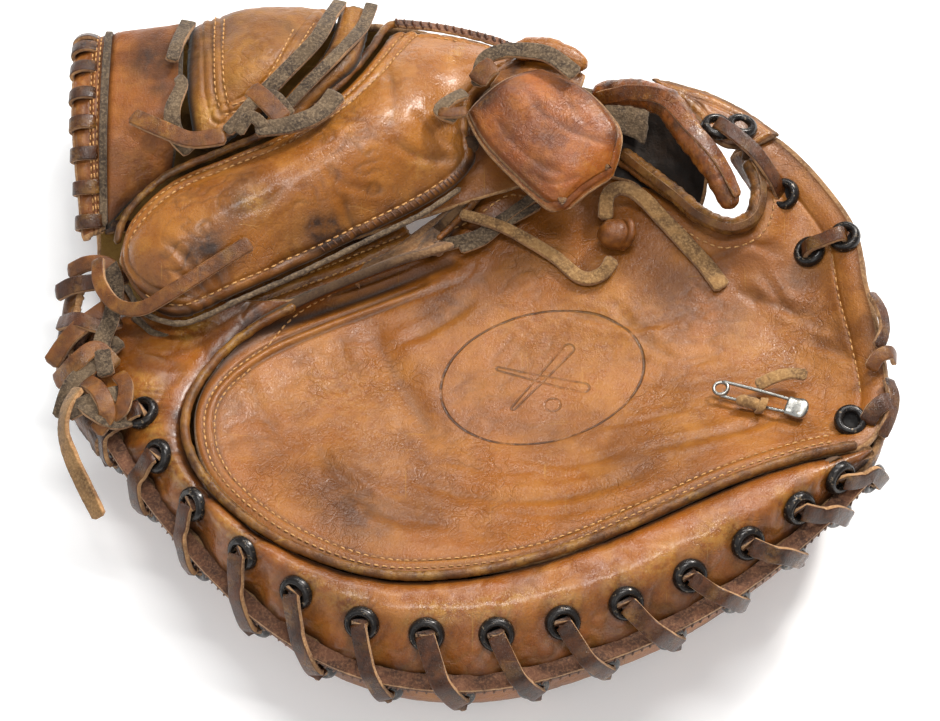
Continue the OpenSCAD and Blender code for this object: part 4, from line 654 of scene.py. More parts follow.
acc.build("BackSideEyelets", [M_ENAMEL, M_HOLE_SHADE], "finger_side", replaces=["back_side_eyelets"], slot="eyelet_enamel")

# rawhide lace over the edge, one run per pair of eyelets
acc = Mesh()
for k in range(len(EYE_T)):
    a_, n_, b_, o_ = EP[k], EN[k], BE[k], BO[k]; m_ = at_(E, EYE_T[k] + 0.42); mo = unit(o_ + np.array([0, 0, 0.9]))
    path = np.array([a_ - 3 * n_, a_ + 2.4 * n_, a_ + (m_ - a_) * 0.55 + 3.7 * unit(n_ + o_ * 0.5), m_ + mo * 5.2, b_ + o_ * 3.4 + np.array([0, 0, 3.4]), b_ - o_ * 2.6])
    ref = unit(np.array([o_, n_, unit(n_ + 0.3 * o_), unit(n_ * 0.6 + o_), unit(o_ + np.array([0, 0, 0.3])), [0, 0, 1.0]]))
    ribbon(acc, path, ref, 6.0 + 0.5 * math.sin(k * 2.3), 2.1, 1.1, seed=k, rough=0.10, mats=(0, 1, 2), twist=[0, 6 * math.sin(k * 1.7), 0, 5 * math.cos(k * 2.9), 0], r=0.55, dirt=0.2)
acc.build("RimLace", [M_LACE, M_WELT, M_EDGE], "finger_side", replaces=["rim_lace"], slot="smooth_lace")

# welt in the edge seam, with its whip stitches
C = np.array([at_(E, 1 + 13.8 * q / 59) + outw(E, round(1 + 13.8 * q / 59)) * 1.3 + np.array([0, 0, -0.7]) for q in range(60)]); acc = Mesh()
for q, (w_, t_, dz, do) in enumerate(((5.6, 1.7, 1.2, 0.0), (5.0, 1.8, -0.9, 0.5))):
    ribbon(acc, C + np.array([0, 0, dz]), (0, 0, 1), w_, t_, 1.6, seed=70 + q, rough=0.35, mats=(0, 0, 0) if q else (0, 1, 1), dirt=0.25)
acc.build("EdgeWelt", [M_WELT, M_EDGE], "finger_side", replaces=["edge_welt"], slot="trim_leather")
acc = Mesh(); C2 = even(C, step=3.1); Tn = tangents(C2); rs = np.random.RandomState(4)
for q in range(len(C2)):
    o_ = unit(np.cross(Tn[q], [0, 0, 1.0])); o_ = o_ if o_ @ (C2[q] - np.array([0, 0, C2[q][2]])) > 0 else -o_
    p = C2[q] + o_ * 2.9; capsule(acc, p + np.array([0, 0, 2.3]) - o_ * 0.9 + Tn[q] * rs.uniform(.2, .7), p + np.array([0, 0, -2.2]) - Tn[q] * rs.uniform(.2, .7), 0.42, o_, 0)
acc.build("EdgeStitching", [M_THREADD], "finger_side", slot="trim_leather")

# ------------------------------------------------------------------ placing by the main view
def proj(G): return np.stack([470 + G[..., 0] / 0.34, 360 - (G[..., 1] * 0.899 + (G[..., 2] - 55) * 0.438) / 0.34], -1)
def vblobs(G, L):
    p = proj(G); o = 0
    for x, y, r, s in L: o = o + s * np.exp(-((p[..., 0] - x) ** 2 + (p[..., 1] - y) ** 2) / r ** 2)
    return np.clip(o, 0, 1)
# like crease_set: height change and darkness, the darkness painted shade in each crease
def vcreases(G, L):
    p = proj(G); h = np.zeros(p.shape[:-1]); dk = np.zeros(p.shape[:-1])
    for pts, dep, wid in L:
        line = even(np.array([list(q) + [0] for q in pts], float), step=10)[:, :2]; d, t = polydist(p, line); d = d * 0.34 + 0.6 * noise(G, 6, 5)
        e = np.clip(np.minimum(t, 1 - t) * 5, 0, 1); h -= dep * e * gauss(d, wid) - dep * 0.42 * e * (gauss(d - wid * 1.9, wid * 1.1) + gauss(d + wid * 1.9, wid * 1.1)); dk += min(dep, 1) * 0.55 * e * gauss(d, wid * 0.5)
    return h, dk
def vline(S, pts, step=3.0):
    """the (f, g) line on S under a curve drawn in the main view"""
    p = proj(S.G); n_, m_ = p.shape[:2]; line = even(np.array([list(q) + [0] for q in pts], float), step=step)[:, :2]; out = []
    for q in line:
        d = ((p - q) ** 2).sum(-1); k = int(np.argmin(d)); i, j = divmod(k, m_); i = min(max(i, 1), n_ - 2); j = min(max(j, 1), m_ - 2)
        J = np.stack([(p[i + 1, j] - p[i - 1, j]) / 2, (p[i, j + 1] - p[i, j - 1]) / 2], 1); r = q - p[i, j]
        try: s_ = np.linalg.solve(J, r)
        except Exception: s_ = np.zeros(2)
        s_ = np.clip(s_, -1, 1); out.append([np.clip((i + s_[0]) / (n_ - 1), 0, 1), np.clip((j + s_[1]) / (m_ - 1), 0, 1)])
    return np.array(out)

# ================================================================== thumb roll
n, m = 262, 104
DM = DL + (DU - DL) * 0.5 + np.stack([0 * TRISE, 0 * TRISE, TRISE], 1)
G = loft([DL, DM, DU], n, m, 0, 1, 0.015, 0.975)
dB, tB = polydist(G, even(np.vstack([DL[2:0:-1], DL[:1], (DL[:1] + DU[:1]) / 2, DU[:9]]), step=4), 3); dD, tD = polydist(G, even(DL, step=4), 3); dT, tT = polydist(G, even(DU[8:], step=4), 3)
h = -1.6 * gauss(dB, 1.7) + 0.5 * gauss(dB - 6.4, 1.1) + 0.5 * smooth(9.5, 14, dB) * np.exp(-dB / 50) - 0.55 * gauss(dB - 4.3, 0.62) - 0.55 * gauss(dB - 8.4, 0.62)
h += -1.5 * gauss(dD, 1.7) - 0.5 * gauss(dD - 4.6, 0.7) * smooth(0.12, 0.2, tD) - 1.4 * gauss(dT, 1.8) - 0.45 * gauss(dT - 5, 0.65)
ch, cd = vcreases(G, [([(352,205),(360,232),(376,262)], 0.9, 2.2), ([(212,262),(228,288),(240,312)], 0.7, 1.6), ([(180,282),(205,296),(236,322)], 0.8, 1.8), ([(172,250),(196,272),(216,304)], 0.6, 1.5), ([(150,300),(180,318),(210,330)], 0.6, 1.6),
    ([(398,150),(430,168),(466,170)], 0.6, 1.8), ([(330,170),(352,196),(400,205)], 0.4, 1.6), ([(420,120),(452,150),(482,160)], 0.5, 1.6), ([(300,190),(280,214),(240,232)], 0.4, 2.0), ([(270,292),(300,270),(340,262)], 0.5, 1.5), ([(392,60),(404,110),(396,150)], 0.4, 2.2)])
inner = smooth(9, 14, dB) * smooth(4, 9, dD); fine = wrinkle(G, 6.5, 61, (1, 1.3, 1), 2) * smooth(-0.1, 0.3, noise(G, 24, 62)); fine2 = wrinkle(G, 3.6, 63, (1.2, 1, 1), 1.2) * smooth(-0.1, 0.35, noise(G, 22, 64))
h += ch + inner * (0.6 * fbm(G, 30, 2, 65) - 0.26 * fine - 0.13 * fine2) + 0.14 * fbm(G, 9, 2, 66) + 0.05 * noise(G, 3, 67)
mask = np.zeros(G.shape)
mask[..., 0] = np.clip(vblobs(G, [(330,240,18,1.0),(342,246,14,.9),(218,262,20,.9),(206,276,14,.6),(262,206,22,.6),(240,226,18,.45),(456,176,20,.5),(486,176,14,.6),(300,262,20,.4),(420,206,24,.35),(390,228,26,.35),(160,300,16,.4),(520,60,18,.3),(250,180,20,.2),(440,120,24,.2)]) * (0.85 + 0.3 * fbm(G, 8, 3, 68)) + 0.18 * fine * inner + 0.3 * gauss(dD - 3, 3.5), 0, 1)
# mask g: the pale spots at (266, 220) and (430, 176) are painted glints on the thumb roll's crest
mask[..., 1] = np.clip(vblobs(G, [(266,220,16,.8),(430,176,14,.7),(400,90,40,.25),(150,262,10,.6),(300,262,14,.3),(352,118,18,.5),(378,84,14,.4),(470,120,26,.25)]) * (0.8 + 0.4 * fbm(G, 7, 2, 69)) + 0.4 * gauss(dB - 6.4, 1.2) * np.clip(noise(G, 14, 3) + .3, 0, 1) + vblobs(G, [(466,60,5,.9),(471,55,4,.9),(461,66,4,.7)]), 0, 1)
# mask b: dark seams, and painted shade in the creases
mask[..., 2] = np.clip(gauss(dB, 1.3) + 0.35 * (gauss(dB - 4.3, 0.7) + gauss(dB - 8.4, 0.7)) + gauss(dD, 1.9) + gauss(dT, 1.3) + cd + 0.22 * inner * fine, 0, 1)
ST = Surf(G); ST.push(h)
thumb = shell("ThumbRoll", ST, 3.0, M_THUMB, "thumb_side", mask, edge_mat=M_EDGE, back_mat=M_FLESH, replaces=["thumb_panel"], slot="shell_leather")
st = Mesh(); HB = np.where(tB < 0.995, dB, 99)
for d_, sd in ((4.3, 21), (8.4, 22)):
    L = level(ST, dB, d_, 0.0, 0.78, 260, 0.6, True); stitches(st, ST, L, 2.75, 2.05, 0.34, seed=sd)
L = level(ST, dD, 4.6, 0.10, 0.62, 200, 0.5); stitches(st, ST, L, 3.0, 2.2, 0.34, seed=23)
L = level(ST, dT, 5.0, 0.80, 0.98, 80, 0.5, True); stitches(st, ST, L, 2.9, 2.1, 0.34, seed=24)
Pd = ST.at(np.linspace(0.40, 0.66, 27), np.full(27, 0.012)); Pi = ST.at(np.linspace(0.40, 0.66, 27) - 0.006, np.full(27, 0.055))
for q in range(27): capsule(st, Pd[0][q] + Pd[1][q] * 0.2, Pi[0][q] + Pi[1][q] * 0.15, 0.36, Pi[1][q], 1)
st.build("ThumbStitching", [M_THREAD, M_THREADD], "thumb_side", slot="trim_leather")
acc = Mesh(); C = np.array([cr(DU, np.array([0.1 + 8.4 * q / 47]))[0] + np.array([0, 0, -0.4]) - outw(DU, round(0.1 + 8.4 * q / 47)) * -1.5 * -1 for q in range(48)])
tube(acc, C, 1.35, 12, 0.9, mat=0, bumpy=0.2, wr=(-0.14, 3.0), seed=13, mask=pm)
Cl = even(DL[:8] + np.array([0, 0, -1.4]), step=2.0); tube(acc, Cl + np.array([0.3, -0.9, 0]), 1.0, 10, 0.9, mat=1, bumpy=0.25, seed=14)
acc.build("ThumbPiping", [M_PIPE, M_GREY], "thumb_side", replaces=["thumb_piping"], slot="trim_leather")
# tip edge: serrated dark lacing behind the roll
acc = Mesh(); C = even(DU[8:] + np.array([0, 1.6, 0.2]), step=1.0)
ribbon(acc, C, (0, 0.5, 1), 4.2, 1.4, 1.2, seed=15, rough=0.3, mats=(0, 0, 1)); C2 = even(C, step=3.0)
for q in range(len(C2) - 1): capsule(acc, C2[q] + np.array([0.2, 1.6, 0.8]), C2[q] + np.array([1.3, -1.9, 1.3]), 0.55, np.array([0, 0.3, 1.0]), 2)
acc.build("ThumbTipEdge", [M_WELT, M_EDGE, M_LACE], "thumb_side", slot="trim_leather")

# ------------------------------------------------------------------ crotch band
R1 = A([-112,15,47],[-101,8,46],[-80,13,46],[-52,24,46],[-26,36,45],[-14,42,44]); R2 = A([-106,22,44],[-94,20,43],[-77,28,43],[-54,40,43],[-34,50,42],[-22,56,42])
n, m = 150, 30; G = loft([R1, R2], n, m, 0, 1, 0, 1); G[..., 2] += 1.0 * np.sin(np.pi * np.linspace(0, 1, m))[None]
d0, t0 = polydist(G, even(R1, step=3)); h = -0.5 * gauss(d0, 1.0) + 0.5 * gauss(d0 - 6.2, 1.6) - 0.5 * gauss(d0 - 4.2, 0.6) - 0.5 * gauss(d0 - 8.4, 0.6) + 0.3 * fbm(G, 14, 3, 71) - 0.2 * wrinkle(G, 4, 72)
mask = np.zeros(G.shape); mask[..., 2] = np.clip(0.7 * gauss(d0, 0.9) + 0.8 * smooth(11, 16, d0) + 0.3 * (gauss(d0 - 4.2, .7) + gauss(d0 - 8.4, .7)), 0, 1); mask[..., 0] = np.clip(0.3 + 0.5 * noise(G, 16, 73), 0, 1); mask[..., 1] = np.clip(0.4 * gauss(d0 - 6.2, 1.4), 0, 1)
SB = Surf(G); SB.push(h); shell("CrotchBand", SB, 2.0, M_THUMB, "finger_side", mask, edge_mat=M_EDGE, back_mat=M_FLESH, replaces=["thumb_crotch_band"], slot="shell_leather")
st = Mesh()
for d_, sd in ((4.2, 31), (8.4, 32)):
    L = level(SB, d0, d_, 0.03, 0.97, 200, 0.95); stitches(st, SB, L, 2.75, 2.05, 0.34, seed=sd)
tube(st, even(R1 + np.array([0, 0, 0.5]), step=2), 1.2, 10, 0.9, mat=1, bumpy=0.25, seed=16)
st.build("CrotchStitching", [M_THREAD, M_GREY], "finger_side", slot="trim_leather")

# ------------------------------------------------------------------ wrist cuff
n, m = 84, 130; G = loft([A0, A1, A2, A3], n, m, 0.31, 1.0, 0.0, 1.0)
h = 0.5 * fbm(G, 24, 3, 81) + 0.12 * fbm(G, 7, 2, 82) - 0.22 * wrinkle(G, 5, 83, (1, 1, 1), 2) * smooth(0, .35, noise(G, 18, 84)); fx = np.linspace(0, 1, n)[:, None] * np.ones((1, m)); gx = np.linspace(0, 1, m)[None] * np.ones((n, 1))
h += -0.9 * gauss(fx * 26, 1.6) - 0.8 * gauss(gx * 60, 1.8)
mask = np.zeros(G.shape); mask[..., 0] = np.clip(vblobs(G, [(150,70,20,.6),(165,95,16,.6),(150,48,20,.4),(160,200,24,.4),(128,220,16,.5),(175,60,14,.5),(140,130,20,.15)]) + 0.15 * noise(G, 9, 85), 0, 1); mask[..., 1] = np.clip(vblobs(G, [(140,170,26,.35),(130,90,20,.25)]), 0, 1); mask[..., 2] = np.clip(0.9 * gauss(fx * 26, 1.3) + 0.6 * gauss(gx * 60, 1.6) + 0.5 * gauss((1 - fx) * 26, 2.5), 0, 1)
SC = Surf(G); SC.push(h); shell("WristCuff", SC, 2.6, M_CUFF, "thumb_side", mask, edge_mat=M_GREY, back_mat=M_FLESH, replaces=["wrist_cuff"], slot="shell_leather")
n, m = 40, 140; G = loft([A0, A1, A2, A3], n, m, 0.0, 0.275, 0.0, 1.0); fx = np.linspace(0, 1, n)[:, None] * np.ones((1, m)); gx = np.linspace(0, 1, m)[None] * np.ones((n, 1))
ph = np.abs(((gx - 0.03) / 0.1 + 0.5) % 1.0 - 0.5); h = 0.20 * noise(G, 6, 91) - 0.9 * gauss(fx, 0.10) + (0.75 * smooth(0.12, 0.42, ph) - 0.35) * (1 - smooth(0.30, 0.45, fx)) - 0.4 * gauss(fx - 0.58, 0.035) - 0.4 * gauss(fx - 0.82, 0.035)
mask = np.zeros(G.shape); mask[..., 0] = 0.25 + 0.3 * noise(G, 9, 92); mask[..., 1] = np.clip(0.5 * (1 - smooth(0.3, 0.45, fx)) * smooth(0.2, 0.45, ph), 0, 1); mask[..., 2] = np.clip(0.6 * (1 - smooth(0.08, 0.16, ph)) * (1 - smooth(0.42, 0.50, fx)) + 0.35 * (gauss(fx - 0.58, .04) + gauss(fx - 0.82, .04)) + 0.6 * gauss(fx - 1, 0.08), 0, 1); mask = np.clip(mask, 0, 1)
SF = Surf(G); SF.push(h); shell("CuffFacing", SF, 2.8, M_CUFF, "thumb_side", mask, edge_mat=M_EDGE, back_mat=M_FLESH, replaces=["cuff_facing"], slot="shell_leather")
st = Mesh()
for f_, sd in ((0.58, 41), (0.70, 43), (0.82, 42)): stitches(st, SF, [[f_, g_] for g_ in np.linspace(0.01, 0.93, 60)], 2.75, 2.05, 0.32, seed=sd)
C = loft([A0, A1, A2, A3], 2, 60, 0.292, 0.296)[0] + np.array([0, 0, 0.2]); ribbon(st, C, (0, 0, 1), 2.6, 2.0, 1.2, seed=44, rough=0.35, mats=(1, 1, 1), dirt=0.2)
st.build("CuffWeltStitching", [M_THREAD, M_GREY], "thumb_side", replaces=["cuff_welt"], slot="trim_leather")
BK = None
def wallr(P, fd, a_, zb, d=1):
    out = []; f = math.radians(fd)
    for i in range(len(P)):
        k_ = (1 - 0.12 * (i - 13)) if i > 13 else ((0.55 + 0.09 * i) if i < 5 else 1.0)
        out.append(P[i] - d * outw(P, i) * a_ * k_ * (1 - math.cos(f)) - np.array([0, 0, (P[i][2] - zb(i)) * math.sin(f)]))
    return np.array(out)
def midr(P, R, f):     # the rails may have different point counts
    return np.array([P[i] + (along(R, np.array([i / (len(P) - 1)]))[0] - P[i]) * f for i in range(len(P))]) if len(P) != len(R) else P + (R - P) * f
fz = lambda i: 9 - 1.5 * i if i < 6 else (8 * (i - 13) if i > 13 else 0); tz = lambda i: 10 - 3.3 * i if i < 3 else (9 * (i - 6) if i > 6 else 0)
w9 = wallr(FE, 90, 33, fz); BR = [FE, wallr(FE, 25, 30, fz), wallr(FE, 50, 30, fz), wallr(FE, 75, 30, fz), w9, midr(w9, VL, 0.3), VL]
w9t = wallr(TE, 90, 25, tz, -1); TR = [TE, wallr(TE, 25, 22, tz, -1), wallr(TE, 50, 22, tz, -1), wallr(TE, 75, 22, tz, -1), w9t, midr(w9t, TV, 0.35), TV]

# whip lace round the cuff
acc = Mesh()
def cuff_c(s): return along(np.array([along(r, 0.09) for r in (A0, A1, A2, A3)]), s)
def tb_c(s): return along(np.array([along(r, 0.02) for r in TR]), s)
def whip(acc, p, u, w_, seed, mats=(0, 1, 2), tx=np.array([0, 0, 0.0])):
    an = np.radians(np.linspace(-70, 250, 17) - 90); P_ = p + np.array([-1, 0, 0]) * 4.6 * np.cos(an)[:, None] + u * 3.1 * np.sin(an)[:, None] + tx * np.linspace(-1, 1, 17)[:, None]
    R_ = np.array([-1, 0, 0]) * 3.1 * np.cos(an)[:, None] + u * 4.6 * np.sin(an)[:, None]; ribbon(acc, P_, unit(R_), w_, 1.6, 1.0, seed=seed, rough=0.10, mats=mats, r=0.5, dirt=0.25)
for k in range(10):
    s_ = 0.03 + 0.1 * k; t_ = unit(cuff_c(min(s_ + 0.01, 1)) - cuff_c(s_ - 0.01)); u = unit(np.cross([1, 0, 0], t_)); whip(acc, cuff_c(s_) - 1.4 * u + np.array([0.4, 0, 0]), u, 5.0, 200 + k, tx=t_ * 0.9)
for k in range(9):
    s_ = 0.08 + 0.1 * k; t_ = unit(tb_c(s_ + 0.01) - tb_c(s_ - 0.01)); u = unit(np.cross([1, 0, 0], t_)); whip(acc, tb_c(s_) - 1.5 * u + np.array([2.6, 0, 0]), u, 4.8, 230 + k, tx=t_ * 0.8)
acc.build("CuffWhipLace", [M_LACE, M_WELT, M_EDGE], "thumb_side", replaces=["cuff_whip_lace"], slot="smooth_lace")

# ------------------------------------------------------------------ gusset and strip
n, m = 96, 150; G = loft([B0, B1, B2, B3], n, m, 0, 1, 0, 1); fx = np.linspace(0, 1, n)[:, None] * np.ones((1, m)); gx = np.linspace(0, 1, m)[None] * np.ones((n, 1))
w_ = np.linalg.norm(G[-1] - G[0], axis=1)[None]; bd = np.minimum(np.minimum(fx, 1 - fx) * w_, gx * 70)
pv = proj(G); r1, _ = polydist(pv, np.array([(212,20),(216,60),(220,100),(226,124)], float)); r2, _ = polydist(pv, even(np.array([(228,125,0),(250,118,0),(272,104,0),(288,84,0),(304,54,0),(324,20,0)], float), step=8)[:, :2]); r1 = r1 * 0.34; r2 = r2 * 0.34
h = -1.9 * (1 - smooth(0, 4.5, bd)) + 1.6 * vblobs(G, [(212,132,22,1.0)]) + 0.7 * fbm(G, 26, 3, 101) - 0.22 * wrinkle(G, 5, 103, (1, 1, 1), 2) * smooth(-.1, .3, noise(G, 16, 104)) + 0.06 * noise(G, 3, 105)
h += -0.6 * gauss(r1, 0.7) - 0.5 * gauss(r1 - 3.2, 0.6) - 0.5 * gauss(r2, 0.6) - 0.5 * gauss(r2 - 3.4, 0.6) + 0.7 * smooth(3, 9, r1) * smooth(3, 9, r2)
mask = np.zeros(G.shape); mask[..., 0] = np.clip(vblobs(G, [(196,70,20,.6),(205,30,24,.5),(250,20,30,.35),(230,95,18,.3),(300,30,24,.4),(190,100,14,.5)]) * (0.9 + 0.4 * fbm(G, 7, 2, 106)), 0, 1); mask[..., 1] = np.clip(vblobs(G, [(208,130,14,.8),(250,80,26,.3),(216,120,10,.5)]), 0, 1); mask[..., 2] = np.clip(1.0 - smooth(0, 2.6, bd) + 0.3 * gauss(r1, .7) + 0.3 * gauss(r2, .7), 0, 1)
SG = Surf(G); SG.push(h); gus = shell("ThumbGusset", SG, 2.6, M_GUS, "thumb_side", mask, edge_mat=M_GREY, back_mat=M_FLESH, replaces=["thumb_gusset"], slot="shell_leather")
st = Mesh()
for pts, sd in (([(217,22),(219,60),(222,100),(228,122)], 51), ([(227,22),(228,60),(231,95),(236,116)], 52), ([(230,126),(252,119),(274,105),(290,84),(306,54),(322,24)], 53), ([(238,116),(256,108),(270,94),(284,70),(300,34)], 54)):
    stitches(st, SG, vline(SG, pts), 2.75, 2.05, 0.34, seed=sd)
st.build("GussetStitching", [M_THREAD], "thumb_side", slot="trim_leather")
n, m = 110, 26; G = loft([C0, C1], n, m, 0, 1, 0, 1); G[..., 2] += 2.2 * np.sin(np.pi * np.linspace(0, 1, m))[None]; gx = np.linspace(0, 1, m)[None] * np.ones((n, 1)); bd = np.minimum(gx, 1 - gx) * 15
h = -1.0 * (1 - smooth(0, 2.5, bd)) + 0.25 * fbm(G, 12, 3, 111) - 0.2 * wrinkle(G, 4, 112); mask = np.zeros(G.shape); mask[..., 0] = np.clip(vblobs(G, [(345,62,12,.8),(338,78,10,.6),(320,100,14,.4)]) + .1, 0, 1); mask[..., 1] = np.clip(0.3 * gauss(gx - .5, .2), 0, 1); mask[..., 2] = 1 - smooth(0, 2.2, bd)
SS = Surf(G); SS.push(h); shell("ThumbEdgeStrip", SS, 2.4, M_GUS, "thumb_side", mask, edge_mat=M_GREY, back_mat=M_FLESH, replaces=["thumb_edge_strip"], slot="shell_leather")

# ------------------------------------------------------------------ backs
def back(name, R, n, m, body, nodes, seams, eyes, seed):
    G = loft(R, n, m, 0, 1, 0.010, 1.0); gx = np.linspace(0, 1, m)[None] * np.ones((n, 1)); fx = np.linspace(0, 1, n)[:, None] * np.ones((1, m)); d0, t0 = polydist(G, even(R[0], step=4), 3)
    S = Surf(G, up=(0, 0, -1)); N = S.N
    h = -1.0 * gauss(d0, 1.5) - 0.5 * gauss(d0 - 5.0, 0.7) + 0.5 * smooth(6, 12, d0) * (1 - smooth(20, 34, d0)) + 0.55 * fbm(G, 30, 3, seed) - 0.30 * wrinkle(G, 8, seed + 1, (1, 1, 1), 3) * smooth(-.1, .3, noise(G, 26, seed + 2)) - 0.14 * wrinkle(G, 4.2, seed + 3) + 0.05 * noise(G, 3, seed + 4)
    mask = np.zeros(G.shape); mask[..., 2] = np.clip(gauss(d0, 1.6) + 0.4 * gauss(d0 - 5, 0.7), 0, 1)
    for e in eyes:
        d = np.linalg.norm(G - e, axis=2); h += -0.9 * gauss(d, 6.0); mask[..., 0] += 0.6 * gauss(d, 7); mask[..., 2] += 0.7 * smooth(6.6, 5.2, d)
    low = smooth(9, 3, G[..., 2]); h = h * (1 - 0.85 * low) - 0.15 * low
    for a_, b_ in seams:
        L = even(np.array([a_, (np.array(a_) + np.array(b_)) / 2 + np.array([0, 2]), b_], float), step=6); d, _ = polydist(G, L); w1 = smooth(40, 30, G[..., 2]); h += w1 * (-1.1 * gauss(d, 1.2)); mask[..., 2] += w1 * 0.9 * gauss(d, 0.9)
    # mask r is also raised on the low parts: darker towards the bottom
    mask[..., 0] += np.clip(0.25 + 0.6 * noise(G, 20, seed + 5), 0, 1) + 0.4 * low; mask[..., 1] += np.clip(0.5 * noise(G, 15, seed + 6), 0, .6) * (1 - low); mask = np.clip(mask, 0, 1)
    h = np.minimum(h, 0.9); S.push(h); low_ = S.G[..., 2] < 0.15 - OFF[2] + 0.0; S.G[..., 2] = np.maximum(S.G[..., 2], -0.95)
    ob = shell(name, S, 2.8, M_BACK, body, mask, edge_mat=M_EDGE, back_mat=M_LINING, replaces=nodes, slot="shell_leather"); return S, d0, ob
SK, dK, _o = back("FingerBack", BR, 330, 120, "finger_side", ["finger_back"], [((-70,-10),(96,4)), ((-66,-36),(104,-22)), ((-50,-62),(96,-44))], list(BE - BO * 1.5), 121)
st = Mesh(); L = level(SK, dK, 5.0, 0.01, 0.985, 420, 0.3); stitches(st, SK, L, 2.9, 2.1, 0.34, seed=61); st.build("FingerBackStitching", [M_THREAD], "finger_side", slot="trim_leather")
SJ, dJ, _o = back("ThumbBack", TR, 230, 104, "thumb_side", ["thumb_back"], [((-96,60),(-6,108))], [], 131)
st = Mesh(); L = level(SJ, dJ, 5.0, 0.03, 0.97, 300, 0.3); stitches(st, SJ, L, 2.9, 2.1, 0.34, seed=62); L = level(SJ, dJ, 8.6, 0.03, 0.97, 300, 0.3); stitches(st, SJ, L, 2.9, 2.1, 0.34, seed=63); st.build("ThumbBackStitching", [M_THREAD], "thumb_side", slot="trim_leather")

# ================================================================== web
M_PALM2 = leather("LeatherCrotch", lin(172,104,54), lin(136,82,42), lin(192,130,80), deep=lin(74,42,27), wear_and_sheen=lin(222,172,128), rough=0.40, patch=34)
WR = [A([2,81,74.5],[8.5,69.5,74],[15.6,61,73],[28.6,49,70],[35,47.5,68]), A([15,91,78],[24,80,79],[31,71,78],[40,60,75],[43,54,71]), A([28,99,74],[42,89.5,76],[50,80.5,76],[54,72,75],[52,60,70.5])]
n, m = 122, 104; G = loft(WR, n, m, 0, 1, 0, 1); fx = np.linspace(0, 1, n)[:, None] * np.ones((1, m)); gx = np.linspace(0, 1, m)[None] * np.ones((n, 1))
# rounded corners: pull the grid's corners in
cxy = G[n // 2, m // 2]; cf = np.maximum(0, (2 * np.abs(fx - 0.5)) ** 6 * (2 * np.abs(gx - 0.5)) ** 6); G = G + (cxy - G) * (0.035 * cf)[..., None]
bd = np.minimum(np.minimum(fx, 1 - fx) * 52, np.minimum(gx, 1 - gx) * 34)
ch, cd = vcreases(G, [([(530,105),(560,130),(600,150),(628,158)], 0.55, 1.6), ([(500,120),(520,150),(552,178),(590,190)], 0.5, 1.6), ([(520,92),(548,112),(560,150)], 0.4, 1.8), ([(560,90),(585,120),(600,145)], 0.35, 1.3), ([(540,180),(560,196),(596,186)], 0.45, 1.2)])
h = 0.45 * smooth(0, 6, bd) + 0.25 * noise(G, 26, 141) - 0.05 * wrinkle(G, 5, 142) + 0.45 * ch - 0.8 * (1 - smooth(0, 1.6, bd)) + 0.05 * noise(G, 3, 143)
mask = np.zeros(G.shape); mask[..., 0] = np.clip(vblobs(G, [(500,110,20,.55),(545,180,18,.5),(560,150,14,.4),(520,140,16,.4),(620,150,12,.4),(590,100,16,.3)]) + 0.2 * noise(G, 8, 144) + 0.25 * (1 - smooth(0, 5, bd)), 0, 1)
# mask g: the pale spots at (600, 178) and (575, 205) are painted highlight on the panel's lit lower-right part, and the
# pale line just inside the border is painted highlight on the folded edge
mask[..., 1] = np.clip(vblobs(G, [(600,178,14,.6),(575,205,10,.5),(560,110,20,.2),(530,110,14,.25)]) + 0.5 * gauss(bd - 1.8, 1.2) * np.clip(noise(G, 9, 145) + 0.35, 0, 1), 0, 1); mask[..., 2] = np.clip(cd + 0.35 * (1 - smooth(0, 1.0, bd)), 0, 1)
SW = Surf(G); SW.push(h); wp = shell("WebPanel", SW, 2.1, M_WEB, "web", mask, edge_mat=M_EDGE, back_mat=M_FLESH, replaces=["web_panel"], slot="web_leather")
# under layer, folded edge showing along the lower end
U_ = G + (G - cxy) * np.array([0.035, 0.035, 0]) + np.array([0.6, -0.9, -2.5]); SU = Surf(U_[:, :]); SU.push(0.25 * fbm(U_, 9, 2, 146) + 0.5 * smooth(0.5, 3, bd)); mk2 = np.zeros(G.shape); mk2[..., 0] = 0.35; mk2[..., 1] = np.clip(0.6 * (1 - smooth(0, 2.5, bd)), 0, 1)
shell("WebUnderLayer", SU, 1.7, M_WEB, "web", mk2, edge_mat=M_EDGE, back_mat=M_FLESH, slot="web_leather")
# fuzzy leather behind
n, m = 70, 50; G = loft([A([30,84,60],[42,77,60],[54,83,57],[64,79,56]), A([32,95,61],[44,97,60],[55,95,58],[65,90,57])], n, m); G[..., 2] += 2.0 * np.sin(np.linspace(0, 3 * np.pi, n))[:, None] * 0.35
SX_ = Surf(G); SX_.push(0.6 * fbm(G, 8, 3, 151) + 0.25 * noise(G, 2.2, 152)); shell("WebBackPanel", SX_, 2.0, M_GREY, "web", None, replaces=["web_back_panel"], slot="suede_lace")
# thick rolled leather and the cord round the mouth
acc = Mesh(); RP = A([46,92.5,64.5],[53,91.5,68],[61,89,72],[71,82,77],[78,70,78.5],[86,58,77],[91,48,74],[93,44,72])
def rollmask(V):
    k = np.zeros((len(V), 3)); f = fbm(V, 7, 3, 161); k[:, 0] = np.clip(0.10 + 0.7 * f, 0, 1); k[:, 1] = np.clip(0.5 * noise(V, 5, 162) + 0.2, 0, 1); k[:, 2] = np.clip(0.6 * wrinkle(V, 4.2, 163) - 0.1, 0, 1); return k
tube(acc, RP, [3.9, 4.6, 5.0, 5.1, 5.0, 4.8, 4.3, 3.5], 30, 0.8, mat=0, bumpy=0.3, wr=(-0.30, 4.2), seed=160, mask=rollmask, squash=0.97)
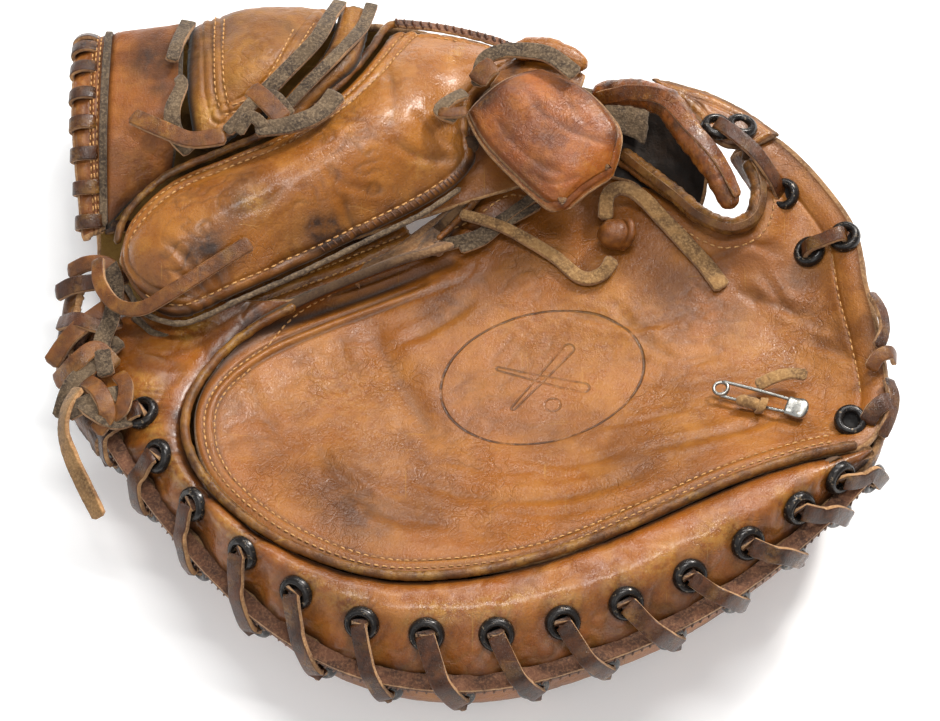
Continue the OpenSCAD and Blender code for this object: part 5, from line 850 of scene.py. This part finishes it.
# its lapped edge spirals along the roll
C = even(RP, step=1.0); Tn, Un, Vn = frames(C, (0, 0, 1)); a_ = np.radians(np.linspace(150, 40, len(C)))[:, None]; rr = np.interp(np.linspace(0, 1, len(C)), np.linspace(0, 1, 8), [3.9, 4.6, 5.0, 5.1, 5.0, 4.8, 4.3, 3.5])[:, None]
Lp = C + (Un * np.cos(a_) + Vn * np.sin(a_)) * (rr + 0.1); ribbon(acc, Lp[3:-3], unit(Un * np.cos(a_) + Vn * np.sin(a_))[3:-3], 5.2, 1.0, 1.0, seed=165, mats=(0, 0, 1), rough=0.2, r=0.35, dirt=0.3)
acc.build("WebRoll", [M_ROLL, M_EDGE], "finger_side", replaces=["web_roll"], slot="web_leather")
acc = Mesh(); CP = A([56,77,52],[64.6,67.8,54],[74.8,56.8,57.5],[82.3,48,60],[91.8,42,62.8],[99.3,43.5,65.5],[102,50,67.5],[101.3,58,68],[98,64.5,68])
tube(acc, CP, [2.5, 2.9, 3.0, 3.0, 3.1, 3.0, 2.9, 2.7, 2.3], 22, 0.7, mat=0, bumpy=0.22, wr=(-0.28, 3.0), seed=170, mask=rollmask)
C = even(CP, step=0.9); Tn, Un, Vn = frames(C, (0, 0, 1)); a_ = math.radians(125); Lp = C + (Un * math.cos(a_) + Vn * math.sin(a_)) * 3.0
ribbon(acc, Lp[2:-2], unit(Un * math.cos(a_) + Vn * math.sin(a_))[2:-2], 2.6, 0.8, 0.9, seed=175, mats=(0, 0, 1), rough=0.15, r=0.3, dirt=0.3)
acc.build("WebCord", [M_CORD, M_EDGE], "finger_side", replaces=["web_cord"], slot="web_leather")
n, m = 110, 64; G = loft([A([67,95,72],[84,89.5,72.5],[97,84,70.5],[109,75,69.5]), A([69,91.5,72],[80,82,72.8],[89,71,71.5],[100,69,70])], n, m); fx = np.linspace(0, 1, n)[:, None] * np.ones((1, m)); gx = np.linspace(0, 1, m)[None] * np.ones((n, 1)); bd = np.minimum(np.minimum(fx, 1 - fx) * 46, np.minimum(gx, 1 - gx) * np.linalg.norm(G[:, -1] - G[:, 0], axis=1)[:, None])
h = 0.35 * fbm(G, 14, 3, 181) - 0.2 * wrinkle(G, 4.5, 182) - 0.7 * (1 - smooth(0, 1.8, bd)) - 0.4 * gauss(bd - 3.6, 0.6)
mask = np.zeros(G.shape); mask[..., 0] = np.clip(0.3 + 0.6 * noise(G, 9, 183), 0, 1); mask[..., 1] = np.clip(0.5 * gauss(bd - 1.8, 1.0), 0, 1); mask[..., 2] = 0.6 * (1 - smooth(0, 1.2, bd))
SE = Surf(G); SE.push(h); shell("WebEdgeStrap", SE, 2.0, M_THUMB, "finger_side", mask, edge_mat=M_EDGE, back_mat=M_FLESH, replaces=["web_edge_strap"], slot="web_leather")
acc = Mesh(); tube(acc, A([18,108,66],[24,109,67.5],[31,108,68.4],[38,105,68.8],[44,101,68.8]), [3.0, 4.1, 4.3, 3.8, 2.6], 24, 0.8, mat=0, bumpy=0.3, wr=(-0.25, 3), seed=190); acc.build("ThumbWebTab", [M_THUMB], "thumb_side", replaces=["thumb_web_tab"], slot="web_leather")

# ================================================================== laces
def lace(name, body, node, runs, slot="suede_lace", extra=None):
    acc = Mesh()
    for q, r in enumerate(runs):
        P_, ref, w_, t_, mats = r[:5]; tw = r[5] if len(r) > 5 else None; tp = r[6] if len(r) > 6 else (1, 1)
        ribbon(acc, np.array(P_, float), unit(np.array(ref, float)) if np.ndim(ref) > 1 else ref, w_, t_, 0.9, seed=hash_(name) + 7 * q, rough=0.16, mats=mats, r=0.5, twist=tw, taper=tp, dirt=0.15)
    if extra: extra(acc)
    return acc.build(name, [M_GREY, M_LACEB, M_EDGE, M_STRAW, M_LACE, M_FLESH], body, replaces=[node] if node else [], slot=slot)
def hash_(s): return sum((i + 1) * ord(c) for i, c in enumerate(s)) % 97
GR, BR_, DK, SW_ = (0, 5, 2), (1, 5, 2), (4, 5, 2), (3, 1, 2)
UPV = (0, 0, 1)
lace("WebAnchorLace", "finger_side", "web_anchor_lace", [([[88.5,77,69],[89.5,75,75.2],[100,66,74.2],[107,58,69],[111,53.5,60]], [[-1,.6,0],[-.3,.2,1],[.1,0,1],[.3,-.1,1],[1,-.6,.4]], 5.0, 2.0, DK, [0,10,-8,0])], "smooth_lace")
lace("TipLace", "finger_side", "tip_lace", [
    ([[118,34,55],[118.6,34.5,62],[124,35.5,65.4],[130,37,67.2],[132,37.5,61]], [[-1,0,0],[-.6,0,.6],[-.3,0,1],[.3,0,1],[1,0,.3]], 5.0, 2.0, DK),
    ([[141,-38,64],[144.5,-31,66],[145.5,-24,66],[144,-17,65]], (.8,0,1), 4.6, 1.9, DK, [0,14,-10,0]),
    ([[141,-6,66],[143.5,1,66],[142.5,8,67],[139,14,68]], (.8,0,1), 4.4, 1.9, DK, [-8,10,0,12]),
    ([[136,-34,66],[139,-30,68.5],[143,-27,68],[146,-26,63]], (.4,0,1), 6.0, 2.0, DK),
    ([[138,-14,65.5],[141,-10,67.5],[145,-8,66.5],[147,-8,61]], (.4,0,1), 5.0, 1.9, BR_)], "smooth_lace")
def bead(acc):
    tube(acc, A([47.2,43.5,53.2],[53.5,43.7,53.6],[59.8,43.5,53.6]), [4.4, 5.2, 5.3, 4.7], 28, 0.6, mat=1, bumpy=0.2, wr=(-0.15, 3), seed=201)
    tube(acc, A([55.2,39.6,50.2],[58.8,41.5,56.6],[58.2,46.5,57.4],[54.6,47.8,53]), 1.5, 12, 0.6, mat=1, bumpy=0.15, seed=202)
def onp(P_, lift=1.4):
    P_ = even(np.array(P_, float), step=2.0); Z, _ = SP.near(P_); P_[:, 2] = np.maximum(P_[:, 2], Z[:, 2] + lift); P_[:, 2] = np.convolve(np.pad(P_[:, 2], 2, mode="edge"), np.ones(5) / 5, "valid"); return P_
L1 = onp([[0,54,49],[9,51,49.4],[17.7,47.5,48.6],[32,38.5,47.6],[41.6,29.8,48],[48.6,30.2,49.8],[52.7,35.5,52]]); L2 = onp([[50,50,52],[51,58,55],[56,60.3,56.5],[63,57,55],[70,49.5,53.2],[77,41,53.4],[84,32,53.2],[90,23.2,53]])
lace("PalmTieLace", "finger_side", "palm_tie_lace", [(L1, (.1,0,1), 5.0, 2.2, SW_, [0,0,8,-6,10,0,20], (.75,1)), (L2, (0,.05,1), 5.8, 2.2, SW_, [18,0,-10,4,-6,8,-4,0], (.85,1.05))])
acc = Mesh(); bead(acc); acc.build("PalmTieKnot", [M_GREY, M_LACEB], "finger_side", replaces=["palm_tie_knot"], slot="smooth_lace")
lace("CrotchLace", "finger_side", "crotch_lace", [([[26.5,61.5,48.8],[12.2,51,47.0],[5.8,46.6,46.6],[-3.7,43.4,47],[-10.2,41.4,48.2]], UPV, 4.6, 2.0, GR, [0,12,0,-10,0], (.8,1)),
    ([[27.5,57.5,48.4],[15,50.5,47.0],[8,44.5,46.8],[0,40.6,47.6]], UPV, 3.4, 1.6, GR, [10,-12,0], (.8,.9))])
lace("WebBowLace", "web", "web_bow_lace", [
    ([[6,91,73],[8,100,75],[15,103,76.5],[25.5,101,80],[32,98,81.2],[40,91,81.2]], (-.1,0,1), 5.6, 2.0, GR, [0,10,-6,8,0,0], (.9,1.1)),
    ([[2,88,73.8],[-3,84,76.3],[-7,79,77.3],[-1,76,77.2]], (-.1,0,1), 4.6, 2.0, GR, [0,14,-10,0]),
    ([[5.5,90,77.4],[8.5,94,78.6],[12,96.5,79.2]], (-.1,.1,1), 7.4, 1.8, BR_, [0,0]),
    ([[-7.4,78,78],[-2.5,77.2,79],[2.5,78,79]], (-.1,.1,1), 4.0, 1.8, BR_, [0,0])])
lace("ThumbLace", "thumb_side", "thumb_lace", [
    ([[-95,124,60.6],[-98,112,67.6],[-100,102,71.4]], UPV, 5.6, 2.0, GR, [0,16,-8], (1,.8)),
    ([[-98,95,72.2],[-96,92,72.6],[-99,82,72.8],[-98,74,70.6],[-92,68,69]], UPV, 6.6, 2.0, GR, [0,10,-12,6], (.6,1.1)),
    ([[-42,132,60.6],[-45,122,68.6],[-50,108,75.4],[-60,95,76.6],[-68,86,75.6]], UPV, 6.0, 2.0, GR, [0,12,-14,10,-6], (.8,1)),
    ([[-31,131,60.6],[-34,118,67.6],[-41,104,75.4],[-52,90,77.4],[-62,79,74.6]], UPV, 5.0, 2.0, GR, [0,-10,12,-8,0], (.9,.8))])
lace("ThumbLaceKnot", "thumb_side", "thumb_lace_knot", [
    ([[-113,80.5,71],[-101,73,74.4],[-92,68.5,76],[-80,69,77.6]], UPV, 6.2, 2.2, BR_, [0,6,-4,0], (.95,1)),
    ([[-80,70,78.4],[-76,74,80],[-70,81,81],[-64,83,80.6],[-58,76,79.2]], UPV, 4.6, 2.0, GR, [0,12,-10,8]),
    ([[-70,70,80.4],[-58,72,80.4],[-48,77,79.6],[-42,85,79.4]], UPV, 7.0, 2.0, GR, [0,8,-8,0], (.8,1)),
    ([[-72,86,80.6],[-66,80,82],[-60,73.5,80.4]], UPV, 6.6, 2.0, BR_, [0,8]),
    ([[-76,69,79.6],[-72,74,82],[-68,72,81.4],[-66,68.6,79]], UPV, 4.2, 1.8, GR, [0,20,0])])
lace("HeelTieTail", "thumb_side", "heel_tie_tail", [([[-124,33,56],[-123,23,57],[-117,14,58.5],[-108,11,62],[-97,15,67.5],[-84,22.5,71],[-71,30,74]], (0,-.3,1), 5.2, 2.0, BR_, [30,20,10,-6,0,4,0], (.9,1.05))], "smooth_lace")

# heel: folded binding and criss-cross lacing
n, m = 90, 34; R1 = A([-131,30,45],[-133,16,46],[-134,2,45],[-129,-14,46],[-120,-29,48]); R2 = A([-136,30,38],[-138,16,37],[-139,2,36],[-134,-15,36],[-124,-32,38])
G = loft([R1, R1 + (R2 - R1) * 0.5 + np.array([-1.6, 0, 1.6]), R2], n, m, 0, 1, 0, 1); S_ = Surf(G, up=(-1, 0, 0.3)); gx = np.linspace(0, 1, m)[None] * np.ones((n, 1))
S_.push(0.35 * fbm(G, 10, 3, 211) - 0.25 * wrinkle(G, 4, 212)); mask = np.zeros(G.shape); mask[..., 0] = np.clip(0.35 + 0.7 * noise(G, 8, 213), 0, 1); mask[..., 1] = np.clip(0.5 * noise(G, 5, 214), 0, 1); mask[..., 2] = 0.7 * gauss(gx - 1, 0.12)
shell("HeelBinding", S_, 3.0, M_PIPE, "finger_side", mask, edge_mat=M_EDGE, back_mat=M_FLESH, replaces=["heel_binding"], slot="trim_leather")
lace("HeelLace", "finger_side", "heel_lace", [
    ([[-114,30,50],[-124,27,50.6],[-133,26,49.4],[-139,25,45]], UPV, 6.2, 2.0, DK, [0,8,-8,0]), ([[-114,22,51],[-124,14,51],[-133,6,50.8],[-140,-2,45]], UPV, 6.2, 2.0, BR_, [0,-8,8,0]),
    ([[-116,5,50],[-124,-4,51],[-132,-13,50.5],[-136,-22,44]], UPV, 6.2, 2.0, GR, [0,10,0,0]), ([[-138,14,44],[-131,12,51.5],[-123,9,52.4],[-116,12,50.4]], UPV, 5.4, 1.9, DK, [0,6,-8,0]),
    ([[-138,-8,43],[-131,-5,51.8],[-124,0,52.8],[-117,-6,51]], UPV, 6.0, 2.0, BR_, [0,0,10,0]), ([[-121,34,51],[-118,24,53],[-119,12,53.2],[-122,2,52.6],[-120,-10,52.4]], UPV, 6.0, 2.0, GR, [0,14,-8,10]),
    ([[-135,33,45.6],[-128,34,50.4],[-121,33,51.4],[-117,28,50.6]], UPV, 5.6, 1.9, BR_, [0,6,-6,0])], "smooth_lace")
lace("HeelLaceTails", "finger_side", "heel_lace_tails", [
    ([[-133,-24,52],[-127,-22,55],[-118,-19,56],[-111,-17,54]], UPV, 6.0, 2.0, GR, [0,10,-6,0]), ([[-129,-15,53.5],[-133,-22,53],[-134,-30,50],[-131,-39,47.5],[-127,-47,44.5],[-121.5,-57,40]], (-1,0,.8), 6.2, 2.0, SW_, [0,6,10,-6,-10,0]),
    ([[-127,-12,53],[-122,-18,57],[-119,-26,56],[-123,-31,52]], UPV, 6.0, 2.2, BR_, [0,-12,10]), ([[-116,-10,54],[-113,-16,57.4],[-114,-24,56.6],[-119,-27,53]], UPV, 5.2, 2.0, BR_, [0,14,-8]),
    ([[-131,-16,51],[-125,-24,55.6],[-117,-28,54.4],[-110,-25,51.6]], UPV, 5.6, 2.0, GR, [0,-8,12])])

# ------------------------------------------------------------------ safety pin
def pinp(x, y, z):
    a, b = math.radians(-21), math.radians(-10); v = np.array([x * math.cos(b) + z * math.sin(b), y, -x * math.sin(b) + z * math.cos(b)])
    v = np.array([v[0] * math.cos(a) - v[1] * math.sin(a), v[0] * math.sin(a) + v[1] * math.cos(a), v[2]]); return v + np.array([88, -18.5, 60.6])
acc = Mesh(); an = np.radians(np.linspace(90, -90 - 360, 46)); coil = [pinp(2.4 * math.cos(a), 2.4 * math.sin(a), 0.55 - 1.1 * q / 45) for q, a in enumerate(an)]
wire = [pinp(28, 2.1, 0.1), pinp(20, 2.5, 0.3), pinp(10, 2.55, 0.5), pinp(1.5, 2.45, 0.55)] + coil + [pinp(1.5, -2.45, -0.5), pinp(12, -2.6, -0.3), pinp(20, -2.6, 0), pinp(26, -2.2, 0)]
tube(acc, even(np.array(wire), step=0.5, k=6), 0.62, 12, 0.5, mat=0); acc.build("PinWire", [M_STEEL], "safety_pin", replaces=["pin_wire"], slot="pin_steel")
acc = Mesh(); sec = []; st_ = np.linspace(0, 1, 15); V = []; kk = 28; a = np.linspace(0, 2 * math.pi, kk, endpoint=False)
xs = [23.6, 23.8, 24.4, 25.5, 27.0, 28.4, 29.6, 30.5, 31.0, 31.15]; ws = [3.2, 3.55, 3.6, 3.5, 3.7, 3.9, 3.6, 2.7, 1.5, 0.3]; hs = [1.2, 1.45, 1.5, 1.25, 1.35, 1.5, 1.35, 1.05, 0.7, 0.2]
inner = [(24.2, 3.0, 1.0), (23.6, 3.05, 1.05)]
for x_, w_, h_ in [(24.4, 0.02, 0.02), (24.3, 2.9, 0.95), (23.7, 3.0, 1.1)] + list(zip(xs, ws, hs)):
    for q in a: c_, s_ = math.cos(q), math.sin(q); V.append(pinp(x_, w_ * np.sign(c_) * abs(c_) ** 0.7, h_ * np.sign(s_) * abs(s_) ** 0.8))
R_ = 13; V.append(pinp(24.4, 0, 0)); V.append(pinp(31.2, 0, 0)); Fq = grid_faces(R_, kk, 0, False, False, True); j = np.arange(kk)
acc.add(np.array(V), [Fq, np.stack([np.full(kk, R_ * kk), (j + 1) % kk, j, j], -1), np.stack([np.full(kk, R_ * kk + 1), (R_ - 1) * kk + j, (R_ - 1) * kk + (j + 1) % kk, (R_ - 1) * kk + j], -1)][:2] + [np.stack([np.full(kk, R_ * kk + 1), (R_ - 1) * kk + j, (R_ - 1) * kk + (j + 1) % kk, (R_ - 1) * kk + (j + 1) % kk], -1)])
acc.build("PinCap", [M_STEEL], "safety_pin", replaces=["pin_cap"], slot="pin_steel")
acc = Mesh(); C = np.array([pinp(x, -2.5, z) for x, z in ((6.4, -0.2), (9, 0.1), (12, 0.2), (14.5, 0.1), (16.8, -0.1))]); tube(acc, C, [1.5, 1.95, 2.0, 1.95, 1.5], 22, 0.5, mat=0, bumpy=0.25, wr=(-0.2, 2.4), seed=221)
ribbon(acc, np.array([pinp(15.5 + 1.0 * math.sin(q), -2.5 + 2.5 * math.cos(q), 0.1 + 2.3 * math.sin(q)) for q in np.radians(np.linspace(0, 340, 18))]), np.array([[math.sin(q) * 0.1, math.cos(q), math.sin(q)] for q in np.radians(np.linspace(0, 340, 18))]), 2.6, 0.9, 0.6, seed=222, mats=(0, 0, 1), r=0.3)
acc.build("PinKnot", [M_STRAW, M_EDGE], "safety_pin", replaces=["pin_knot"], slot="suede_lace")
acc = Mesh(); tube(acc, A([97,-25,55.6],[97.6,-24.4,57.0],[98,-24,58.8]), 1.8, 14, 0.5, mat=0, bumpy=0.2, seed=223)
ribbon(acc, A([100,-18,61.2],[105,-15.5,62],[111,-14,62.6],[117,-15,63.6]), UPV, 4.2, 1.6, 0.8, seed=224, mats=(0, 1, 1), rough=0.2, twist=[0, 14, -10, 6]); acc.build("PinThong", [M_STRAW, M_EDGE], "finger_side", replaces=["pin_thong"], slot="suede_lace")

# ================================================================== strap, linings, pads
SXc = -97.0
def strap_mesh(name, prof_top, w_, t_, body, node, mat, blend=None, seed=0, holes=()):
    P_ = np.array([[SXc, y, z] for y, z in prof_top], float); acc = Mesh(); C, U_, V_ = ribbon(acc, P_, (0, 0, 1), w_, t_, 1.0, seed=seed, rough=0.10, mats=(0, 1, 2), r=0.7, dirt=0.25)
    s = arc(C); 
    for sd in (-1, 1):
        nst = int((s[-1] - 6) / 2.9)
        for q in range(nst):
            a0 = 3 + q * 2.9; p0 = np.array([np.interp(a0, s, C[:, i]) for i in range(3)]); p1 = np.array([np.interp(a0 + 2.1, s, C[:, i]) for i in range(3)]); off = np.array([sd * (w_ / 2 - 2.2), 0, 0])
            capsule(acc, p0 + off - np.array([0, 0, t_ / 2 + 0.05]), p1 + off - np.array([0, 0, t_ / 2 + 0.05]), 0.33, np.array([0, 0, -1.0]), 3)
    ob = acc.build(name, [M_FLESH, M_ROLL, M_EDGE, M_THREAD], None if blend else body, replaces=node, slot="trim_leather")
    if blend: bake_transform(ob)
    return ob
strap_mesh("WristStrap", [(-34,3.7),(-16,3.4),(-13,1.8),(-8.2,0.75),(-4,0.9),(1.4,1.5),(7,6.1),(9.6,6.8),(15.5,6.8),(22,6.3),(34,6.2),(50,6.2),(58,6.2)], 18, 2.1, None, ["wrist_strap", "strap_anchor"], None, ("finger_side", "thumb_side", [SXc, 11, 6], [SXc, 26, 6]), 231)
for nm, mt in (("strap_base", M_ROLL), ("strap_keeper", M_ROLL), ("strap_rivets", M_BRASS), ("buckle_frame", M_BRASS), ("buckle_prong", M_BRASS), ("index_gusset", M_LINING), ("finger_dividers", M_LINING), ("palm_lining", M_LINING), ("thumb_lining", M_LINING)):
    ob = frame["nodes"][nm]; ob.data.materials.clear(); ob.data.materials.append(mt); at = ob.data.attributes.new("mask", "FLOAT_COLOR", "POINT"); co = np.array([v.co for v in ob.data.vertices]) * 1000; M_ = np.ones((len(co), 4), np.float32); M_[:, 0] = np.clip(0.3 + 0.5 * noise(co, 9, 3), 0, 1); M_[:, 1] = np.clip(0.4 * noise(co, 6, 4), 0, 1); M_[:, 2] = 0; at.data.foreach_set("color", M_.ravel())
def pad(name, body, node, top, z0, seed, under=None):
    n, m = top.shape[:2]; fx = np.linspace(0, 1, n)[:, None] * np.ones((1, m)); gx = np.linspace(0, 1, m)[None] * np.ones((n, 1)); e = np.minimum(np.minimum(fx, 1 - fx) * 12, np.minimum(gx, 1 - gx) * 8); r_ = np.sqrt(np.clip(1 - (1 - np.clip(e, 0, 1)) ** 2, 0, 1))
    z0 = z0 if np.ndim(z0) else np.full((n, m), float(z0)); zm = (top[..., 2] + z0) / 2; T_ = top.copy(); T_[..., 2] = zm + (top[..., 2] - zm) * r_ + 0.15 * noise(top, 7, seed) * r_; B_ = top.copy(); B_[..., 2] = zm + (z0 - zm) * r_
    V = np.vstack([T_.reshape(-1, 3), B_.reshape(-1, 3)]); a_ = grid_faces(n, m, 0); b_ = grid_faces(n, m, n * m, True); o = n * m; i = np.arange(n - 1); j = np.arange(m - 1)
    w1 = np.stack([i * m, (i + 1) * m, o + (i + 1) * m, o + i * m], -1)[:, ::-1]; w2 = np.stack([i * m + m - 1, (i + 1) * m + m - 1, o + (i + 1) * m + m - 1, o + i * m + m - 1], -1); w3 = np.stack([j, j + 1, o + j + 1, o + j], -1); w4 = np.stack([(n - 1) * m + j, (n - 1) * m + j + 1, o + (n - 1) * m + j + 1, o + (n - 1) * m + j], -1)[:, ::-1]
    F = np.vstack([a_, b_, w1, w2, w3, w4]); ob = make(name, V, F, M_FELT, body, mask=np.zeros((len(V), 3)), replaces=[node], slot="felt")
    import bmesh; bm = bmesh.new(); bm.from_mesh(ob.data); bmesh.ops.recalc_face_normals(bm, faces=bm.faces); bm.to_mesh(ob.data); bm.free()
T = np.linspace(0.10, 0.74, 90); Sx = np.linspace(0.15, 0.82, 50); a, b = along(PL, T), along(PU, T); G = a[:, None] + (b - a)[:, None] * Sx[None, :, None]; G[..., 2] -= 11 * np.sin(np.pi * Sx)[None] * (np.minimum(1, 4 * T) * np.minimum(1, 3 * (1 - T)))[:, None] + 6.0
e1 = smooth(0.25, 0.6, np.linspace(0, 1, 90))[:, None] * smooth(0.4, 0.95, np.linspace(0, 1, 50))[None]; pad("PalmPad", "finger_side", "palm_pad", G, 32.6 + 7 * e1, 241)
G = loft([Q, KR, E], 100, 30, 0.24, 0.93, 0.16, 0.70); S_ = Surf(G); G = S_.G - S_.N * 5.2; pad("RimPad", "finger_side", "rim_pad", G, 44.2, 242)
G = loft([DL, DM, DU], 80, 34, 0.22, 0.88, 0.22, 0.82); S_ = Surf(G); G = S_.G - S_.N * 5.0; pad("ThumbPad", "thumb_side", "thumb_pad", G, 53.2, 243)

# leather inside the web mouth (in shadow) and the soft wall of the crotch between the palm and the thumb
# the near-black leather colour is painted shade: this sheet stands in for the shadowed inside of the web mouth, and
# mask r darkens it further
M_INSIDE_SHADE = leather("LeatherInsideShade", lin(50,32,24), lin(30,20,15), lin(70,48,36), deep=lin(14,9,7), wear_and_sheen=lin(84,62,48), rough=0.75, patch=18)
n, m = 60, 40; G = loft([A([46,95.5,56],[54,96.5,56],[61,96,56],[70,91.5,56],[76,83,56],[81,73,56],[85,64,57]), A([42,82,52],[52,82,50],[60,80,49],[67,76,49],[73,69,50],[79,62,51],[83,56,52.5]), A([47,68,51],[54,68,50],[60,66,50],[66,61,51],[72,56,52],[77,52,53],[81,49,53.5])], n, m)
S_ = Surf(G); S_.push(0.8 * fbm(G, 10, 3, 251)); mask = np.zeros(G.shape); mask[..., 0] = 0.5; shell("WebMouthShadeSheet", S_, 1.6, M_INSIDE_SHADE, "finger_side", mask, edge_mat=M_EDGE, back_mat=M_FLESH, slot="lining_leather")
n, m = 90, 40; G = loft([A([-60,38,47],[-36,46,48],[-12,54,49],[6,60,50],[24,66,50],[40,72,50]), A([-62,50,47],[-38,57,48],[-14,66,50],[3,73,52],[17,80,55],[28,88,58]), A([-64,60,50],[-40,68,52],[-18,77,55],[-3,85,58],[8,93,62],[16,101,64])], n, m)
# masks r and b darken the wall towards its upper edge, which lies under the thumb roll: painted shade
fx = np.linspace(0, 1, n)[:, None] * np.ones((1, m)); gx = np.linspace(0, 1, m)[None] * np.ones((n, 1)); S_ = Surf(G); S_.push(0.6 * fbm(G, 16, 3, 261) - 0.15 * wrinkle(G, 5, 262)); mask = np.zeros(G.shape); mask[..., 0] = np.clip(0.15 + 0.7 * noise(G, 13, 263) + 0.5 * smooth(0.45, 1.0, gx), 0, 1); mask[..., 2] = 0.55 * smooth(0.55, 1.0, gx)
ob = shell("CrotchLeather", S_, 1.8, M_PALM2, None, mask, edge_mat=M_EDGE, back_mat=M_FLESH, slot="shell_leather"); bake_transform(ob)

acc = Mesh(); tq = np.linspace(0.015, 0.60, 60); P_ = np.array([along(PU, t) for t in tq]) + np.array([0, -1.2, 2.6]); tube(acc, P_, [0.9, 1.4, 1.4, 1.4, 1.3, 0.7], 16, 0.8, mat=0, bumpy=0.2, wr=(-0.2, 3), seed=271); acc.build("PalmPipingUpper", [M_PIPE], "finger_side", slot="trim_leather")

G = loft([A([16,106,63.5],[24,107,64.5],[31,106.5,65.5],[38,103.5,66],[43,99.5,66]), A([14,101,65],[23,101,66.5],[31,99.5,67.5],[37,96.5,67.8],[41,93,67.6]), A([11,95,67],[21,95,68.5],[29,93.5,69.5],[35,90.5,69.6],[39,88,69])], 50, 26); S_ = Surf(G); S_.push(0.4 * fbm(G, 8, 3, 281)); mask = np.zeros(G.shape); mask[..., 0] = np.clip(0.35 + 0.6 * noise(G, 8, 282), 0, 1)
shell("ThumbTopLeather", S_, 1.6, M_THUMB, "thumb_side", mask, edge_mat=M_EDGE, back_mat=M_FLESH, slot="web_leather")

# ================================================================== camera, lights, floor
sc = bpy.context.scene
def aim(ob, target): ob.rotation_mode = "QUATERNION"; from mathutils import Vector; ob.rotation_quaternion = (Vector(target) - ob.location).to_track_quat("-Z", "Y")
from mathutils import Vector
cam = bpy.data.objects.new("Camera", bpy.data.cameras.new("Camera")); sc.collection.objects.link(cam); sc.camera = cam
el = math.radians(64.0); dist = 1.62; tgt = W([3.4, -4.3, 52.9]); cam.location = Vector(tgt) + Vector((0, -math.cos(el), math.sin(el))) * dist
aim(cam, tgt); cam.data.sensor_width = 36; cam.data.lens = 36 * dist / 0.3196; cam.data.clip_start = 0.05; cam.data.clip_end = 20
def area(name, loc, size, power, col, target=(0, 0, 0.04), sy=None):
    L = bpy.data.lights.new(name, "AREA"); L.size = size; L.energy = power; L.color = col
    if sy: L.shape = "RECTANGLE"; L.size_y = sy
    ob = bpy.data.objects.new(name, L); sc.collection.objects.link(ob); ob.location = loc; aim(ob, target); return ob
area("Key", (0.80, 0.95, 1.15), 0.24, 26, (1.0, 0.975, 0.93))
area("Top", (0.25, 0.66, 1.24), 0.34, 3.4, (0.97, 0.98, 1.0))
area("Strip", (0.05, 1.05, 0.98), 0.95, 6.5, (1.0, 0.99, 0.97), sy=0.07)
area("RimStrip", (0.05, 0.06, 1.45), 0.75, 10.0, (1.0, 0.99, 0.97), target=(0.02, -0.08, 0.07), sy=0.07)
area("FillLeft", (-1.1, -0.5, 0.9), 1.2, 3.4, (0.94, 0.97, 1.0))
area("FillFront", (0.15, -0.95, 1.25), 1.1, 6.0, (1.0, 0.98, 0.95))
wd = bpy.data.worlds.new("World"); sc.world = wd; wd.use_nodes = True; bg = wd.node_tree.nodes["Background"]; bg.inputs[0].default_value = (0.93, 0.96, 1.0, 1); bg.inputs[1].default_value = 0.40
F = Mat("FloorPale"); F.done(F.mix(F.rng(F.noise(60, 2, 0.5), 0.3, 0.7), (0.90, 0.90, 0.90), (0.94, 0.94, 0.94)), 0.75, spec=0.2)
for nd in F.t.nodes:
    if nd.type == "BSDF_PRINCIPLED": nd.inputs["Emission Color"].default_value = (1, 1, 1, 1); nd.inputs["Emission Strength"].default_value = 0.16
me = bpy.data.meshes.new("Floor"); me.from_pydata([(-6, -6, 0), (6, -6, 0), (6, 6, 0), (-6, 6, 0)], [], [(0, 1, 2, 3)]); me.materials.append(F.m)
floor = bpy.data.objects.new("Floor", me); sc.collection.objects.link(floor)
sc.view_settings.view_transform = "Standard"; sc.view_settings.look = "None"; sc.view_settings.exposure = 0.0
sc.cycles.use_denoising = True
